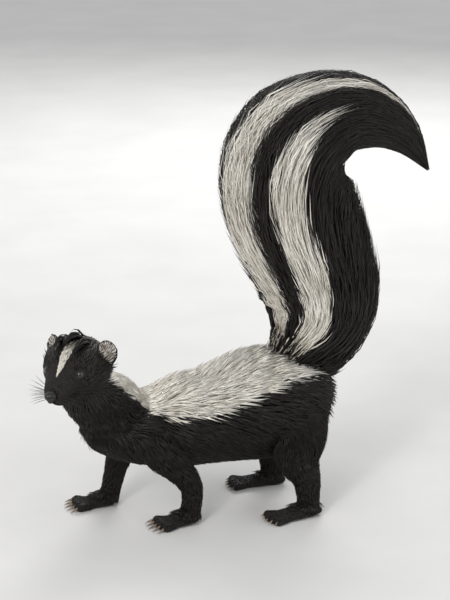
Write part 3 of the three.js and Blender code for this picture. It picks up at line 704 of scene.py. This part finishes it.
def tuft_mesh(name, spine, normal, wide, uv, attributes, thick=0.45, taper=None):
    """spine is tufts x steps x 3, in the drawing's millimetres; wide is the width of each tuft."""
    count, steps, _ = spine.shape
    rings = steps - 1
    s = np.linspace(0, 1, steps)
    taper = (0.75 + 0.55 * np.sin(math.pi * s**0.8)) * (1 - s**3) if taper is None else taper
    along = unit(np.gradient(spine, axis=1))
    across = unit(np.cross(normal[:, None, :], along))
    up = np.cross(along, across)
    turn = (rng.random(count) - 0.5)[:, None, None] * 1.5
    aside = across * np.cos(turn) + up * np.sin(turn)
    rise = up * np.cos(turn) - across * np.sin(turn)
    half = (wide[:, None] * taper[None, :] / 2)[:, :, None]
    ring = np.stack(
        [spine - aside * half, spine + aside * half, spine + rise * half * 2 * thick], axis=2
    )[:, :rings]
    verts = np.concatenate([ring.reshape(count, rings * 3, 3), spine[:, -1:, :]], axis=1)
    each = rings * 3 + 1
    faces = [(0, 2, 1)]
    for r in range(rings - 1):
        for j in range(3):
            a, b = r * 3 + j, r * 3 + (j + 1) % 3
            faces += [(a, b, b + 3), (a, b + 3, a + 3)]
    last = (rings - 1) * 3
    faces += [(last + j, last + (j + 1) % 3, last + 3) for j in range(3)]
    faces = (np.array(faces)[None] + (np.arange(count) * each)[:, None, None]).reshape(-1, 3)
    patch = np.array([[j / 2, r / rings] for r in range(rings) for j in range(3)] + [[0.5, 1.0]])
    corner_uv = (uv[:, None, :] + (patch[None] - 0.5) * PATCH).reshape(-1, 2)
    lengthwise = np.tile(np.append(np.repeat(s[:rings], 3), 1.0), count)

    mesh = bpy.data.meshes.new(name)
    mesh.vertices.add(count * each)
    mesh.vertices.foreach_set("co", place(verts.reshape(-1, 3)).ravel())
    mesh.loops.add(len(faces) * 3)
    mesh.loops.foreach_set("vertex_index", faces.ravel().astype(np.int32))
    mesh.polygons.add(len(faces))
    mesh.polygons.foreach_set("loop_start", np.arange(0, len(faces) * 3, 3, dtype=np.int32))
    mesh.update(calc_edges=True)
    layer = mesh.uv_layers.new(name="OFBake")
    layer.uv.foreach_set("vector", corner_uv[faces.ravel()].ravel())
    per_vertex = {"lengthwise": lengthwise}
    per_vertex.update({key: np.repeat(values, each) for key, values in attributes.items()})
    for key, values in per_vertex.items():
        mesh.attributes.new(key, "FLOAT", "POINT").data.foreach_set("value", values.astype(np.float32))
    mesh.shade_smooth()
    return added(name, mesh)


# %% [markdown]
# ## The coat of the body
# Roots are spread over the skin, closer together where the hair is short. From each root the tuft rises
# away from the skin and bends over into the direction in which the hair lies: back from the nose, along
# the neck and trunk and a little downwards on the flanks, and down the legs to the toes.

# %% Lie and depth of the hair, region by region
def tangent(v, normal):
    return unit(v - normal * np.sum(v * normal, axis=1, keepdims=True))


def growth(points, normal, found, weights):
    """The direction in which the hair lies, the depth of the coat and the length of a tuft."""
    flow = np.zeros_like(points)
    depth = np.zeros(len(points))
    length = np.zeros(len(points))
    down = np.array([0, 0, -1.0])
    for i, name in enumerate(REGIONS):
        w = weights[:, i]
        t, angle = found[name][:2] if name in found else (None, None)
        if name == "torso":
            side = np.abs(np.sin(angle))
            back = forms[name].way(t)
            on_end = smooth(np.abs(np.sum(back * normal, axis=1)), 0.25, 0.8)
            direction = back * (1 - on_end)[:, None] + down * (0.45 * side + 1.4 * on_end)[:, None]
            top = smooth(np.cos(angle), -0.6, 0.9) * (1 - on_end)
            d = 10.5 + 12.5 * top - 3.5 * on_end * (t < 0.5)
            reach = 24 + 15 * top - 7 * on_end * (t < 0.5)
        elif name == "neck":
            direction = forms[name].way(t) + down * 0.2
            d, reach = 12.5, 26
        elif name in LEGS:
            direction = forms[name].way(t)
            thinning = smooth(t, 0.1, 0.8)
            d, reach = 6.6 - 2.6 * thinning, 19 - 10 * thinning
        elif name == "head":
            back = -head_form.way(t)
            direction = back @ HEAD_TURNED.T
            face = smooth(t, 0.3, 0.72)
            cheek = np.abs(np.sin(angle)) * (1 - face)
            d, reach = 6.2 * (1 - face) + 0.9 + 2.2 * cheek, 14 * (1 - face) + 3.6 + 5 * cheek
        elif name == "jaw":
            direction = -jaw_form.way(t) @ HEAD_TURNED.T
            front = smooth(t, 0.1, 0.7)
            d, reach = 3 - 2 * front, 10 - 6 * front
        elif name.startswith("ear"):
            side = -1 if name.endswith("left") else 1
            base = from_head(mirror(EAR_AT - [2, 8, 12], side))
            direction = points - base
            d, reach = 1.3, 5
        elif name == "paws":
            direction = np.tile([-1.0, 0, -0.2], (len(points), 1))
            d, reach = 1.1, 4.6
        else:
            direction = bone_form.way(t)
            d, reach = 16, 40
        flow += unit(direction) * w[:, None]
        depth += d * w
        length += reach * w
    return tangent(flow, normal), depth, length


# %% Places of the roots
def scattered(total, density):
    """Roots on the skin, as many per area as density says: their places and normals."""
    a, b, c = (skin_at[skin_faces[:, k]] for k in range(3))
    area = np.linalg.norm(np.cross(b - a, c - a), axis=1) / 2
    chance = np.cumsum(area * density[skin_faces].mean(axis=1))
    picked = np.searchsorted(chance, rng.random(total) * chance[-1])
    u, v = rng.random(total), rng.random(total)
    u, v = np.where(u + v > 1, 1 - u, u)[:, None], np.where(u + v > 1, 1 - v, v)[:, None]
    a, b, c = (skin_faces[picked, k] for k in range(3))
    mixed = lambda values: values[a] * (1 - u - v) + values[b] * u + values[c] * v
    return mixed(skin_at), unit(mixed(skin_normal))


EYE_FRONT, EYE_OPEN = 3.6, 4.6  # how far the opening is from the middle of the eye, and its half size
NOSE_EDGE, EYE_EDGE, LIP_EDGE = 6.5, 0.9, 1.3  # no hair grows nearer than this to an opening


def eye_gap(points):
    """The distance to the edge of the nearer eye, in millimetres."""
    in_head = to_head(points)
    gaps = []
    for side in (-1, 1):
        front = mirror(EYE_AT, side) + unit(mirror(EYE_LOOK, side)) * EYE_FRONT
        gaps.append(np.linalg.norm((in_head - front) / [1, 1, 0.9], axis=1) - EYE_OPEN)
    return np.minimum(*gaps)


def mouth_gap(points):
    """The distance to the line where the lips meet, in millimetres."""
    middle = (np.array(UPPER_LIP) + np.array(LOWER_LIP)) / 2
    line = catmull(middle, np.linspace(0, 1, 40))
    in_head = np.abs(to_head(points) * [1, 1, 0]) + to_head(points) * [0, 0, 1]
    gaps = np.full(len(points), 99.0)
    near = in_head[:, 0] > 10
    gaps[near] = np.min(np.linalg.norm(in_head[near][:, None] - line[None], axis=2), axis=1)
    return gaps


_, _, skin_length = growth(skin_at, skin_normal, skin_found, skin_weights)
is_bone = skin_weights[:, REGIONS.index("bone")] > 0.5
under_sole = (skin_at[:, 2] < 2.2) | ((skin_at[:, 2] < 5) & (skin_normal[:, 2] < -0.2))
nose_away = np.linalg.norm(to_head(skin_at) - [60, 0, -4.5], axis=1)
CROWDING = {"torso": 1.3, "neck": 2.0, "head": 1.1, "jaw": 1.1, "paws": 0.45}
CROWDING_ELSEWHERE = 0.55
crowding = skin_weights @ np.array([CROWDING.get(name, CROWDING_ELSEWHERE) for name in REGIONS])
by_an_opening = (nose_away <= NOSE_EDGE) | (eye_gap(skin_at) <= EYE_EDGE) | (mouth_gap(skin_at) <= LIP_EDGE)
density = crowding / np.maximum(skin_length, 3.5) ** 1.15
density = density * ~(is_bone | under_sole | by_an_opening)
density = density * np.where(ear_hollow(skin_at, skin_normal), 0.3, 1)
TOTAL_TUFTS = 62000
FEWER = 1
roots, root_normal = scattered(TOTAL_TUFTS // FEWER, density)
root_found = located(roots)
root_weights = weights_of(roots, root_found)
root_flow, root_depth, root_length = growth(roots, root_normal, root_found, root_weights)
print("roots on the body:", len(roots))


# %% [markdown]
# Hairs near each other lean together, so the coat parts into soft clumps. Slow waves turn the tufts in
# common and a little chance turns each on its own. A tuft's middle and tip are set above the skin that is
# nearest to them, so that the coat follows the body round its bends.

# %% Spines of the tufts
def lifted(points, height, first_normal):
    """The same places at a given height over the nearest skin."""
    near = np.empty_like(points)
    normal = np.empty_like(points)
    for i, point in enumerate(points.tolist()):
        near[i], normal[i], _, _ = skin_tree.find_nearest(Vector(point))
    return near + unit(normal + 0.7 * first_normal) * height[:, None]


side_way = np.cross(root_normal, root_flow)
clump = 0.34 * ragged(roots, 5) + 0.22 * ragged(roots + 40, 2.6) + 0.13 * rng.standard_normal(len(roots))
small = smooth(root_length, 5, 16)
root_flow = tangent(root_flow + side_way * (clump * (0.45 + 0.55 * small))[:, None], root_normal)
vary = 0.86 + 0.2 * rng.random(len(roots)) + 0.1 * ragged(roots - 70, 4)
near_eye = np.clip(eye_gap(roots) / 9, 0.14, 1)
ear_gap = np.minimum(ear_share(roots, -1), ear_share(roots, 1))
on_ear = np.max(root_weights[:, -4:-2], axis=1) > 0.5
near_ear = np.where(on_ear, 1, smooth(ear_gap, 0.9, 2.1) * 0.65 + 0.35)
short = near_eye * near_ear * np.clip(mouth_gap(roots) / 4, 0.4, 1)
reach = root_length * vary * short
rise = root_depth * (0.82 + 0.22 * rng.random(len(roots)) + 0.08 * ragged(roots + 90, 4)) * short
middle = lifted(roots + root_flow * (0.42 * reach)[:, None], rise * 0.66, root_normal)
tips = lifted(roots + root_flow * reach[:, None], rise, root_normal)
tips = tips + side_way * (0.08 * reach * ragged(roots + 15, 7))[:, None]
tips[:, 2] = np.maximum(tips[:, 2], 0.5)  # no tip goes into the floor
start = roots - root_normal * 0.5
spine_three = np.stack([start, middle, tips], axis=1)
s = np.array([0, 0.3, 0.66, 1.0])[None, :, None]
quadratic = (1 - s) ** 2 * start[:, None] + 2 * s * (1 - s) * (2 * middle - (start + tips) / 2)[:, None]
spine_four = quadratic + s**2 * tips[:, None]
# Tufts that a fold of the skin would shorten or stretch badly are left out.
stretch = np.linalg.norm(tips - roots, axis=1) / np.hypot(reach, rise)
lies_well = (stretch > 0.55) & (stretch < 1.35)
print("mean length of a tuft, mm:", round(float(np.linalg.norm(tips - roots, axis=1).mean()), 1))
print("left out in folds:", int((~lies_well).sum()))


# %% The unrolled skin
def unrolled(t, angle, tile, tiles):
    """A place in the map: t runs across, the angle runs up, and each form has a strip of its own."""
    u = 0.02 + 0.96 * np.clip(t, 0, 1)
    v = (tile + 0.04 + 0.92 * (angle / (2 * math.pi) + 0.5)) / tiles
    return np.stack([u, v], axis=1)


# %% Pieces of the coat
coat = {"black": [], "white": []}


def toned(points, size):
    """A tone from dark to light: like the neighbours', with a little chance in it."""
    return np.clip(0.5 + 0.22 * ragged(points, size) + 0.2 * rng.standard_normal(len(points)), 0, 1)


def grow(name, colour, chosen, spine, normal, wide, uv, tone, **shape):
    """One piece of the coat, made of the chosen tufts."""
    made = tuft_mesh(
        f"{name}_{colour}",
        spine[chosen],
        normal[chosen],
        wide[chosen],
        uv[chosen],
        {"tone": tone[chosen]},
        **shape,
    )
    coat[colour].append(made)
    print(made.name, len(made.data.polygons), "triangles")


shown = (roots + tips) / 2  # the part of a tuft that the next row leaves open to view
shown_found = located(shown)
root_white = white_body(shown, shown_found, weights_of(shown, shown_found), 0.12) > 0.5
in_hollow = ear_hollow(roots, root_normal)
root_white |= in_hollow
region = np.argmax(root_weights, axis=1)
is_in = lambda *names: np.isin(region, [REGIONS.index(name) for name in names])
tone = toned(roots, 14)
on_left = roots[:, 1] < 0
everywhere = np.full(len(roots), True)
COAT_PIECES = {
    "coat_trunk_left": (["torso"], spine_four, on_left),
    "coat_trunk_right": (["torso"], spine_four, ~on_left),
    "coat_neck": (["neck"], spine_four, everywhere),
    "coat_head": (["head", "jaw", "ear_left", "ear_right"], spine_three, everywhere),
    "coat_legs": ([*LEGS, "paws", "bone"], spine_three, everywhere),
}
for name, (regions, spine, part_of) in COAT_PIECES.items():
    uv = np.zeros((len(roots), 2))
    for k, part in enumerate(regions):
        t, angle, _ = root_found[part if part in root_found else "head" if "ear" in part else "torso"]
        here = region == REGIONS.index(part)
        uv[here] = unrolled(t, angle, k, len(regions))[here]
    for colour, wanted in (("black", ~root_white), ("white", root_white)):
        chosen = is_in(*regions) & wanted & part_of & lies_well
        if chosen.any():
            wide = (0.5 + 0.048 * root_length + 0.3 * rng.random(len(roots))) * np.where(in_hollow, 0.5, 1)
            grow(name, colour, chosen, spine, root_normal, wide, uv, tone)

# %% [markdown]
# ## The tail
# The tail is mostly hair, up to 12 cm of it, round a thin row of bones. It grows from the bones outwards,
# soon bends towards the tip, and the longest hairs reach well past the last bone. In the tail's own terms
# a hair goes from the bone's share of the outline out to 1, while its t grows.

# %% Hair of the tail
SHADE_BAND_END = 0.011  # the hair that grows up to here is short and black: painted shade where the tail leaves the rump, partly real black hair, parting the cape from the bands
ROOT_RADIUS = 8  # where most of the hair starts, in millimetres from the middle of the tail


def tail_hair(count, root_from, root_to, reach, out_low, steps, root_share=None):
    t0 = root_from + (root_to - root_from) * rng.random(count)
    angle = (rng.random(count) * 2 - 1) * math.pi
    radius = tail_form.at(tail_form.sizes, t0)[:, 0]
    outer = out_low + (1.015 - out_low) * rng.random(count) ** 0.55
    outer = outer + 0.03 * (rng.random(count) > 0.94)  # a few stray hairs
    if root_share is None:
        inner = np.minimum(ROOT_RADIUS / radius, 0.5)
    else:
        inner = root_share[0] + root_share[1] * rng.random(count)
    t_end = np.minimum(t0 + (reach(t0) * (0.8 + 0.35 * rng.random(count))) / tail_form.length, 0.995)
    s = np.linspace(0, 1, steps)[None, :]
    t = t0[:, None] + (t_end - t0)[:, None] * s ** np.where(t0 > 0.55, 0.9, 1.15)[:, None]
    share = inner[:, None] + (outer - inner)[:, None] * (1 - (1 - s) ** 2.1)
    wave = 0.1 * ragged(tail_form.point(t0, angle, outer), 9) + 0.05 * rng.standard_normal(count)
    angles = angle[:, None] + wave[:, None] * s**1.3
    spine = tail_form.point(t, angles, share)
    if root_share is not None:
        spine[:, 0] -= tail_form.way(t0) * 9  # rooted in the coat of the rump
    shown = t0 + (t_end - t0) * 0.72
    out = unit(tail_form.point(t0, angle, 1.0) - tail_form.at(tail_form.centre, t0))
    return spine, out, shown, angle + 0.6 * wave, t0


def tail_length(t0):
    return 66 + 34 * smooth(t0, 0.05, 0.3)


def skirt_length(t0):
    return 15 + (33 + 26 * rng.random(len(t0))) * (t0 > SHADE_BAND_END)


batches = [
    tail_hair(2900, -0.012, 0.1, skirt_length, 0.8, 5, (0.4, 0.5)),
    tail_hair(6500, 0.0, 0.22, tail_length, 0.72, 5),
    tail_hair(6500, 0.2, 0.42, tail_length, 0.72, 5),
    tail_hair(6500, 0.4, 0.62, tail_length, 0.72, 5),
    tail_hair(6300, 0.52, BONE_END, lambda t0: 95 + 75 * rng.random(len(t0)), 0.15, 6),
]
for k, (spine, out, shown, angle, t0) in enumerate(batches):
    # Skirt hairs rooted in the band at the tail's root stay black: painted shade where the tail leaves the
    # rump, partly real black hair.
    white = (white_tail(shown, angle, 0.1) > 0.5) & ((t0 > SHADE_BAND_END) | (k > 0))
    tone = toned(spine[:, 2], 22)
    wide = 1.9 + 1.0 * rng.random(len(t0))
    s = np.linspace(0, 1, spine.shape[1])
    taper = (0.6 + 0.5 * np.sin(math.pi * s**0.7)) * (1 - s**2.5)
    keep = rng.random(len(t0)) < 1 / FEWER
    uv = unrolled(shown, wrapped(angle), 0, 1)
    for colour, wanted in (("black", ~white), ("white", white)):
        grow(f"coat_tail_{k}", colour, wanted & keep, spine, out, wide, uv, tone, taper=taper)

# %% [markdown]
# ## The crown
# A small tuft of longer black hair stands on the crown and falls forwards.

# %% Hair of the crown
CROWN = [(0.2, -0.26, 31, 1.42), (0.17, 0.02, 35, 1.54), (0.2, 0.3, 29, 1.36)]
count = 90
lock = rng.integers(0, len(CROWN), count)
t0, lock_angle, length, tip = np.array(CROWN)[lock].T
t0 = t0 + 0.03 * rng.standard_normal(count)
angle = lock_angle + 0.09 * rng.standard_normal(count)
length = length * (0.7 + 0.3 * rng.random(count))
s = np.linspace(0, 1, 5)[None, :]
t = t0[:, None] + (length / head_outline.length)[:, None] * s
gather = 1 - 0.9 * s
raised = (tip - 0.72)[:, None] * np.sin(s * math.pi / 2) ** 0.85
share = 0.72 + raised * (0.9 + 0.1 * rng.random(count))[:, None]
angles = lock_angle[:, None] + (angle - lock_angle)[:, None] * gather
spine = from_head(head_outline.point(t, angles, share))
out = unit(spine[:, 2] - from_head([0, 0, 0]))
wide = 1.5 + 0.6 * rng.random(count)
tone = 0.4 + 0.2 * rng.random(count)
grow("coat_crown", "black", slice(None), spine, out, wide, unrolled(t0, angle, 0, 1), tone)

# %% [markdown]
# ## Eyes
# A skunk's eyes are small and nearly black, so they show as dark wet beads. Each is a full ball, with a
# slightly bulging cornea in front.

# %% Balls of the eyes
eyes = []
for side, name in ((-1, "left"), (1, "right")):
    look = basis(mirror(EYE_LOOK, side))
    mesh = ball(64, 48)
    at = corners(mesh)[:, [2, 0, 1]]
    front = smooth(at[:, 0], 0.55, 1.0)
    points = at * (EYE_RADIUS * 0.985 * (1 + 0.05 * front))[:, None]
    eye = joined(f"eyeball_{name}", [moved(mesh, from_head(points @ look + mirror(EYE_AT, side)))], place)
    centred = np.arccos(np.clip(at[:, 0], -1, 1)) / 0.9
    eye.data.attributes.new("iris", "FLOAT", "POINT").data.foreach_set("value", centred.astype(np.float32))
    eye.data.shade_smooth()
    eyes.append(eye)
    print(eye.name, "sits at", np.round(place(from_head(mirror(EYE_AT, side))), 4))

# %% [markdown]
# ## Nose
# The bare pad of the nose is dark, moist and finely cobbled. Two comma-shaped nostrils open to the front
# and the sides, and a shallow groove divides it in the middle.

# %% Pad and nostrils
NOSE_GRID, NOSE_ROUNDS = 0.00055, 6
nose_parts = [
    egg((6.0, 6.2, 4.7), (60.6, 0, -3.4), (1, 0, -0.2), (48, 32)),
    egg((4.4, 3.1, 4.0), (61, 0, -7.2)),
]
nose = joined("nose_pad", [mapped(part, from_head) for part in nose_parts], place)
nose = remeshed(nose, NOSE_GRID, NOSE_ROUNDS)
at, _, _ = mesh_arrays(nose.data)
in_head = to_head(at)
push = np.zeros(len(in_head))
for side in (-1, 1):
    for centre, spread, deep in (((66.3, 2.9, -3.6), 1.5, 2.1), ((63.8, 5.2, -4.7), 1.5, 1.3)):
        push += deep * np.exp(-np.sum((in_head - mirror(centre, side)) ** 2, axis=1) / (2 * spread**2 / 2))
push += 0.5 * np.exp(-(in_head[:, 1] ** 2) / 0.35) * smooth(in_head[:, 0], 62, 66)
hollow = in_head - unit(in_head - np.array([58, 0, -4.5])) * push[:, None]
nose.data.vertices.foreach_set("co", place(from_head(hollow)).ravel())
nose.data.update()
print("nose pad:", len(nose.data.vertices), "vertices")

# %% [markdown]
# ## Claws and whiskers
# The claws are pale brown horn, bent down to the floor. The whiskers are stiff black hairs in the pads of
# the muzzle, with a few over the eyes.

# %% Claws
def claw_form(sizes, root, direction, back):
    length = sizes["claw"] * (0.8 + 0.2 * back)
    radius = sizes["root"]
    start = root + direction * sizes["toe"] * 0.85
    start[2] = sizes["toe_radius"] * 1.05
    stations = []
    for s in np.linspace(0, 1, 6):
        at = start + direction * length * (s - 0.25) - np.array([0, 0, 0.3 * length * s * s])
        thin = max(1 - s**1.6, 0.04)
        stations.append([*at, radius * 0.7 * thin, radius * thin, radius * thin])
    return Form(stations, side=(-direction[1], direction[0], 0), round_start=0.1)


claws = {}
for name in PAWS:
    sizes, to_ground = paw_frame(name)
    made = [mapped(swept(claw_form(sizes, *toe), 14, 18), to_ground) for toe in toes(sizes)]
    claws[name] = joined(f"claws_{name}", made, place)
    claws[name].data.shade_smooth()
print("claws:", {name: len(piece.data.polygons) for name, piece in claws.items()})

# %% Whiskers
def whisker(root, way, length, droop):
    s = np.linspace(0, 1, 7)[:, None]
    return from_head(root + way * length * s + np.array(droop) * length * s**2)


BROW_LENGTH = 17
spines = []
for side in (-1, 1):
    for row in range(3):
        for k in range(5):
            root = mirror((55 - 3.4 * k, 6.6 + 1.1 * k - 0.3 * row, -5.2 - 2.4 * row), side)
            length = 19 + 5.5 * k + 3 * rng.random()
            way = unit(mirror((0.25 - 0.24 * k, 1.0, 0.14 - 0.2 * row), side))
            spines.append(whisker(root, way, length, (-0.25, 0, -0.22)))
    for k in range(3):
        root = mirror((27 + 2 * k, 13 + k, 13.6 - 0.4 * k), side)
        way = unit(mirror((0.3 - 0.2 * k, 0.55, 0.8), side))
        spines.append(whisker(root, way, BROW_LENGTH, (-0.3, 0, -0.15)))
whiskers = tuft_mesh(
    "whiskers",
    np.array(spines),
    np.tile([0, 0, 1.0], (len(spines), 1)),
    np.full(len(spines), 0.42),
    np.stack([np.linspace(0.1, 0.9, len(spines)), np.full(len(spines), 0.5)], axis=1),
    {"tone": np.full(len(spines), 0.3)},
    thick=0.8,
)
print("whiskers:", len(spines))

# %% [markdown]
# ## Materials
# Black hair is a very dark brown with a soft gloss. White hair is a warm cream with darker roots. The
# colour varies from tuft to tuft and along each tuft, which keeps the coat from looking like plastic.

# %% Helpers for materials
def material(name, **sockets):
    made = bpy.data.materials.new(name)
    made.use_nodes = True
    shader = made.node_tree.nodes["Principled BSDF"]
    for key, value in sockets.items():
        shader.inputs[key.replace("_", " ")].default_value = value
    return made, made.node_tree, shader


def node(tree, kind, **settings):
    made = tree.nodes.new(kind)
    for key, value in settings.items():
        setattr(made, key, value)
    return made


def ramp(tree, source, stops):
    made = node(tree, "ShaderNodeValToRGB")
    elements = made.color_ramp.elements
    while len(elements) < len(stops):
        elements.new(0.5)
    for element, (position, colour) in zip(elements, stops):
        element.position = position
        element.color = (*colour, 1)
    tree.links.new(source, made.inputs["Fac"])
    return made.outputs["Color"]


def coloured(tree, shader, source, stops):
    tree.links.new(ramp(tree, source, stops), shader.inputs["Base Color"])


def attribute(tree, name):
    return node(tree, "ShaderNodeAttribute", attribute_name=name).outputs["Fac"]


def where(tree):
    """Places in an object's own coordinates, which don't change when it moves."""
    return node(tree, "ShaderNodeTexCoord").outputs["Object"]


def noise(tree, scale, detail, stretch=(1, 1, 1)):
    scaled = node(tree, "ShaderNodeMapping")
    scaled.inputs["Scale"].default_value = stretch
    tree.links.new(where(tree), scaled.inputs["Vector"])
    made = node(tree, "ShaderNodeTexNoise")
    made.inputs["Scale"].default_value = scale
    made.inputs["Detail"].default_value = detail
    tree.links.new(scaled.outputs["Vector"], made.inputs["Vector"])
    return made.outputs["Fac"]


def math_node(tree, operation, *values):
    made = node(tree, "ShaderNodeMath", operation=operation)
    for socket, value in zip(made.inputs, values):
        if isinstance(value, (int, float)):
            socket.default_value = value
        else:
            tree.links.new(value, socket)
    return made.outputs["Value"]


def bumped(tree, shader, height, strength, distance):
    made = node(tree, "ShaderNodeBump")
    made.inputs["Strength"].default_value = strength
    made.inputs["Distance"].default_value = distance
    tree.links.new(height, made.inputs["Height"])
    tree.links.new(made.outputs["Normal"], shader.inputs["Normal"])


# %% Hair
def hair(name, dark, light, roughness, **sockets):
    made, tree, shader = material(name, Roughness=roughness, **sockets)
    by_tuft = math_node(tree, "MULTIPLY", attribute(tree, "tone"), 0.6)
    by_length = math_node(tree, "MULTIPLY", attribute(tree, "lengthwise"), 0.45)
    between = tuple((a + b) / 2 for a, b in zip(dark, light))
    varied = math_node(tree, "ADD", by_tuft, by_length)
    coloured(tree, shader, varied, [(0.1, dark), (0.55, between), (0.95, light)])
    rough = math_node(tree, "MULTIPLY_ADD", noise(tree, 900, 2), 0.2, roughness - 0.1)
    tree.links.new(rough, shader.inputs["Roughness"])
    bumped(tree, shader, noise(tree, 1400, 3), 0.25, 0.0004)
    return made


BLACK = ((0.003, 0.0024, 0.002), (0.024, 0.02, 0.0175))
WHITE = ((0.46, 0.41, 0.33), (0.9, 0.875, 0.81))
black_hair = hair("black_hair", *BLACK, 0.56, Specular_IOR_Level=0.32)
white_hair = hair("white_hair", *WHITE, 0.6, Specular_IOR_Level=0.3)

# %% Skin
skin_mat, tree, shader = material("bare_skin", Roughness=0.6, Specular_IOR_Level=0.35)
mixed = node(tree, "ShaderNodeMix", data_type="RGBA")
tree.links.new(attribute(tree, "white"), mixed.inputs["Factor"])
grain = noise(tree, 260, 6)
dark_skin = ramp(tree, grain, [(0.3, (0.006, 0.005, 0.0045)), (0.7, (0.02, 0.016, 0.014))])
pale_skin = ramp(tree, grain, [(0.3, (0.3, 0.25, 0.2)), (0.7, (0.5, 0.43, 0.36))])
tree.links.new(dark_skin, mixed.inputs["A"])
tree.links.new(pale_skin, mixed.inputs["B"])
tree.links.new(mixed.outputs["Result"], shader.inputs["Base Color"])
bumped(tree, shader, noise(tree, 700, 5), 0.35, 0.0008)

# %% Horn, eye and nose
claw_mat, tree, shader = material("claw_horn", Roughness=0.38, Specular_IOR_Level=0.5)
streaks = noise(tree, 500, 5, (0.25, 1, 1))
coloured(tree, shader, streaks, [(0.3, (0.07, 0.05, 0.035)), (0.75, (0.3, 0.23, 0.16))])
bumped(tree, shader, streaks, 0.2, 0.0003)

WET = {"Specular_IOR_Level": 0.5, "Coat_Weight": 0.5, "Coat_Roughness": 0.01}
eye_mat, tree, shader = material("wet_eye", Roughness=0.04, **WET)
flecks = math_node(tree, "MULTIPLY_ADD", noise(tree, 1800, 4), 0.25, attribute(tree, "iris"))
EYE_COLOURS = [
    (0.45, (0.0015, 0.001, 0.0008)),
    (0.6, (0.011, 0.005, 0.0025)),
    (0.95, (0.005, 0.003, 0.002)),
    (1.0, (0.002, 0.0015, 0.0015)),
]
coloured(tree, shader, flecks, EYE_COLOURS)

MOIST = {"Specular_IOR_Level": 0.42, "Coat_Weight": 0.15, "Coat_Roughness": 0.12}
nose_mat, tree, shader = material("moist_nose", Roughness=0.4, **MOIST)
cobbles = node(tree, "ShaderNodeTexVoronoi")
cobbles.inputs["Scale"].default_value = 1300
tree.links.new(where(tree), cobbles.inputs["Vector"])
apart = cobbles.outputs["Distance"]
coloured(tree, shader, apart, [(0.1, (0.009, 0.007, 0.0065)), (0.7, (0.003, 0.0025, 0.0025))])
bumped(tree, shader, apart, 0.35, -0.0003)
print("materials:", [made.name for made in bpy.data.materials])

# %% [markdown]
# The skin carries the same markings as the coat, as numbers on its corners. Bare places inside the ears
# are pale, as thin skin is.

# %% Dress the pieces
def dress(piece, mat):
    piece.data.materials.clear()
    piece.data.materials.append(mat)
    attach(piece, "root")


white = np.maximum(skin_white, 0.3 * ear_hollow(skin_at, skin_normal)).astype(np.float32)
skin.data.attributes.new("white", "FLOAT", "POINT").data.foreach_set("value", white)
dress(skin, skin_mat)
for colour, mat in (("black", black_hair), ("white", white_hair)):
    for piece in coat[colour]:
        dress(piece, mat)
dress(whiskers, black_hair)
for eye in eyes:
    dress(eye, eye_mat)
dress(nose, nose_mat)
for piece in claws.values():
    dress(piece, claw_mat)

# %% [markdown]
# ## What stands for what
# One skin with its coat takes the place of all the solids of flesh. The eyes and the nose are pieces of
# their own and take the place of theirs.

# %% Replace the solids
ALONE = {"eye_left": eyes[0], "eye_right": eyes[1], "nose": nose}
flesh = [name for name in frame["nodes"] if name not in ALONE]
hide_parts(*flesh)
for name, piece in ALONE.items():
    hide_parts(name)
print("nodes under the skin:", len(flesh))

# %% [markdown]
# ## Studio
# A plain pale floor, a large soft light from the left and one from the right, a small one that puts a
# spark in the eyes, and a light from behind that draws a bright edge round the black coat.

# %% Floor and backdrop
floor_mesh = bmesh.new()
bmesh.ops.create_circle(floor_mesh, cap_ends=True, segments=128, radius=40)
floor = added("floor", as_mesh(floor_mesh, "floor"))
floor_mat, tree, shader = material("floor_paper", Roughness=0.9, Specular_IOR_Level=0.1)
coloured(tree, shader, noise(tree, 7, 5), [(0.3, (0.61, 0.605, 0.59)), (0.7, (0.65, 0.645, 0.63))])
bumped(tree, shader, noise(tree, 600, 3), 0.05, 0.0003)
floor.data.materials.append(floor_mat)

world = bpy.data.worlds.new("studio")
bpy.context.scene.world = world
world.use_nodes = True
world.node_tree.nodes["Background"].inputs["Color"].default_value = (0.92, 0.93, 0.95, 1)
world.node_tree.nodes["Background"].inputs["Strength"].default_value = 0.78


# %% Lights
def area_light(name, at, aim, size, power, colour=(1, 1, 1)):
    data = bpy.data.lights.new(name, "AREA")
    data.shape = "DISK"
    data.size = size
    data.energy = power
    data.color = colour
    made = added(name, data)
    made.location = at
    made.rotation_euler = (Vector(aim) - Vector(at)).to_track_quat("-Z", "Y").to_euler()


MIDDLE = (0, 0, 0.2)
area_light("key", (-1.5, -1.7, 1.9), MIDDLE, 1.3, 27, (1, 0.98, 0.95))
area_light("catch", (-1.3, -1.5, 1.15), MIDDLE, 0.3, 10)
area_light("fill", (1.8, -1.2, 0.9), MIDDLE, 1.6, 9, (0.95, 0.97, 1))
area_light("edge", (0.9, 1.9, 1.5), MIDDLE, 1.2, 30)
print("lights:", [light.name for light in bpy.data.lights])

# %% [markdown]
# ## Camera
# The picture looks down on the skunk from its left, a little from in front. A long lens from 2.3 m away
# keeps the drawing's nearly parallel lines.

# %% Camera
AZIMUTH, ELEVATION = math.radians(-18), math.radians(16)
DISTANCE = 2.3
VIEW_HEIGHT = 0.624  # what the picture takes in from top to bottom, in metres
SENSOR = 36
target = Vector(place([0, 0, 226.4]))
level = math.cos(ELEVATION)
back = Vector((math.sin(AZIMUTH) * level, -math.cos(AZIMUTH) * level, math.sin(ELEVATION)))
camera_data = bpy.data.cameras.new("camera")
camera_data.sensor_fit = "VERTICAL"
camera_data.sensor_height = SENSOR
camera_data.lens = SENSOR * DISTANCE / VIEW_HEIGHT
camera = added("camera", camera_data)
camera.location = target + back * DISTANCE
camera.rotation_euler = (-back).to_track_quat("-Z", "Y").to_euler()
bpy.context.scene.camera = camera
bpy.context.scene.view_settings.view_transform = "Standard"
print("lens, mm:", round(camera_data.lens, 1))
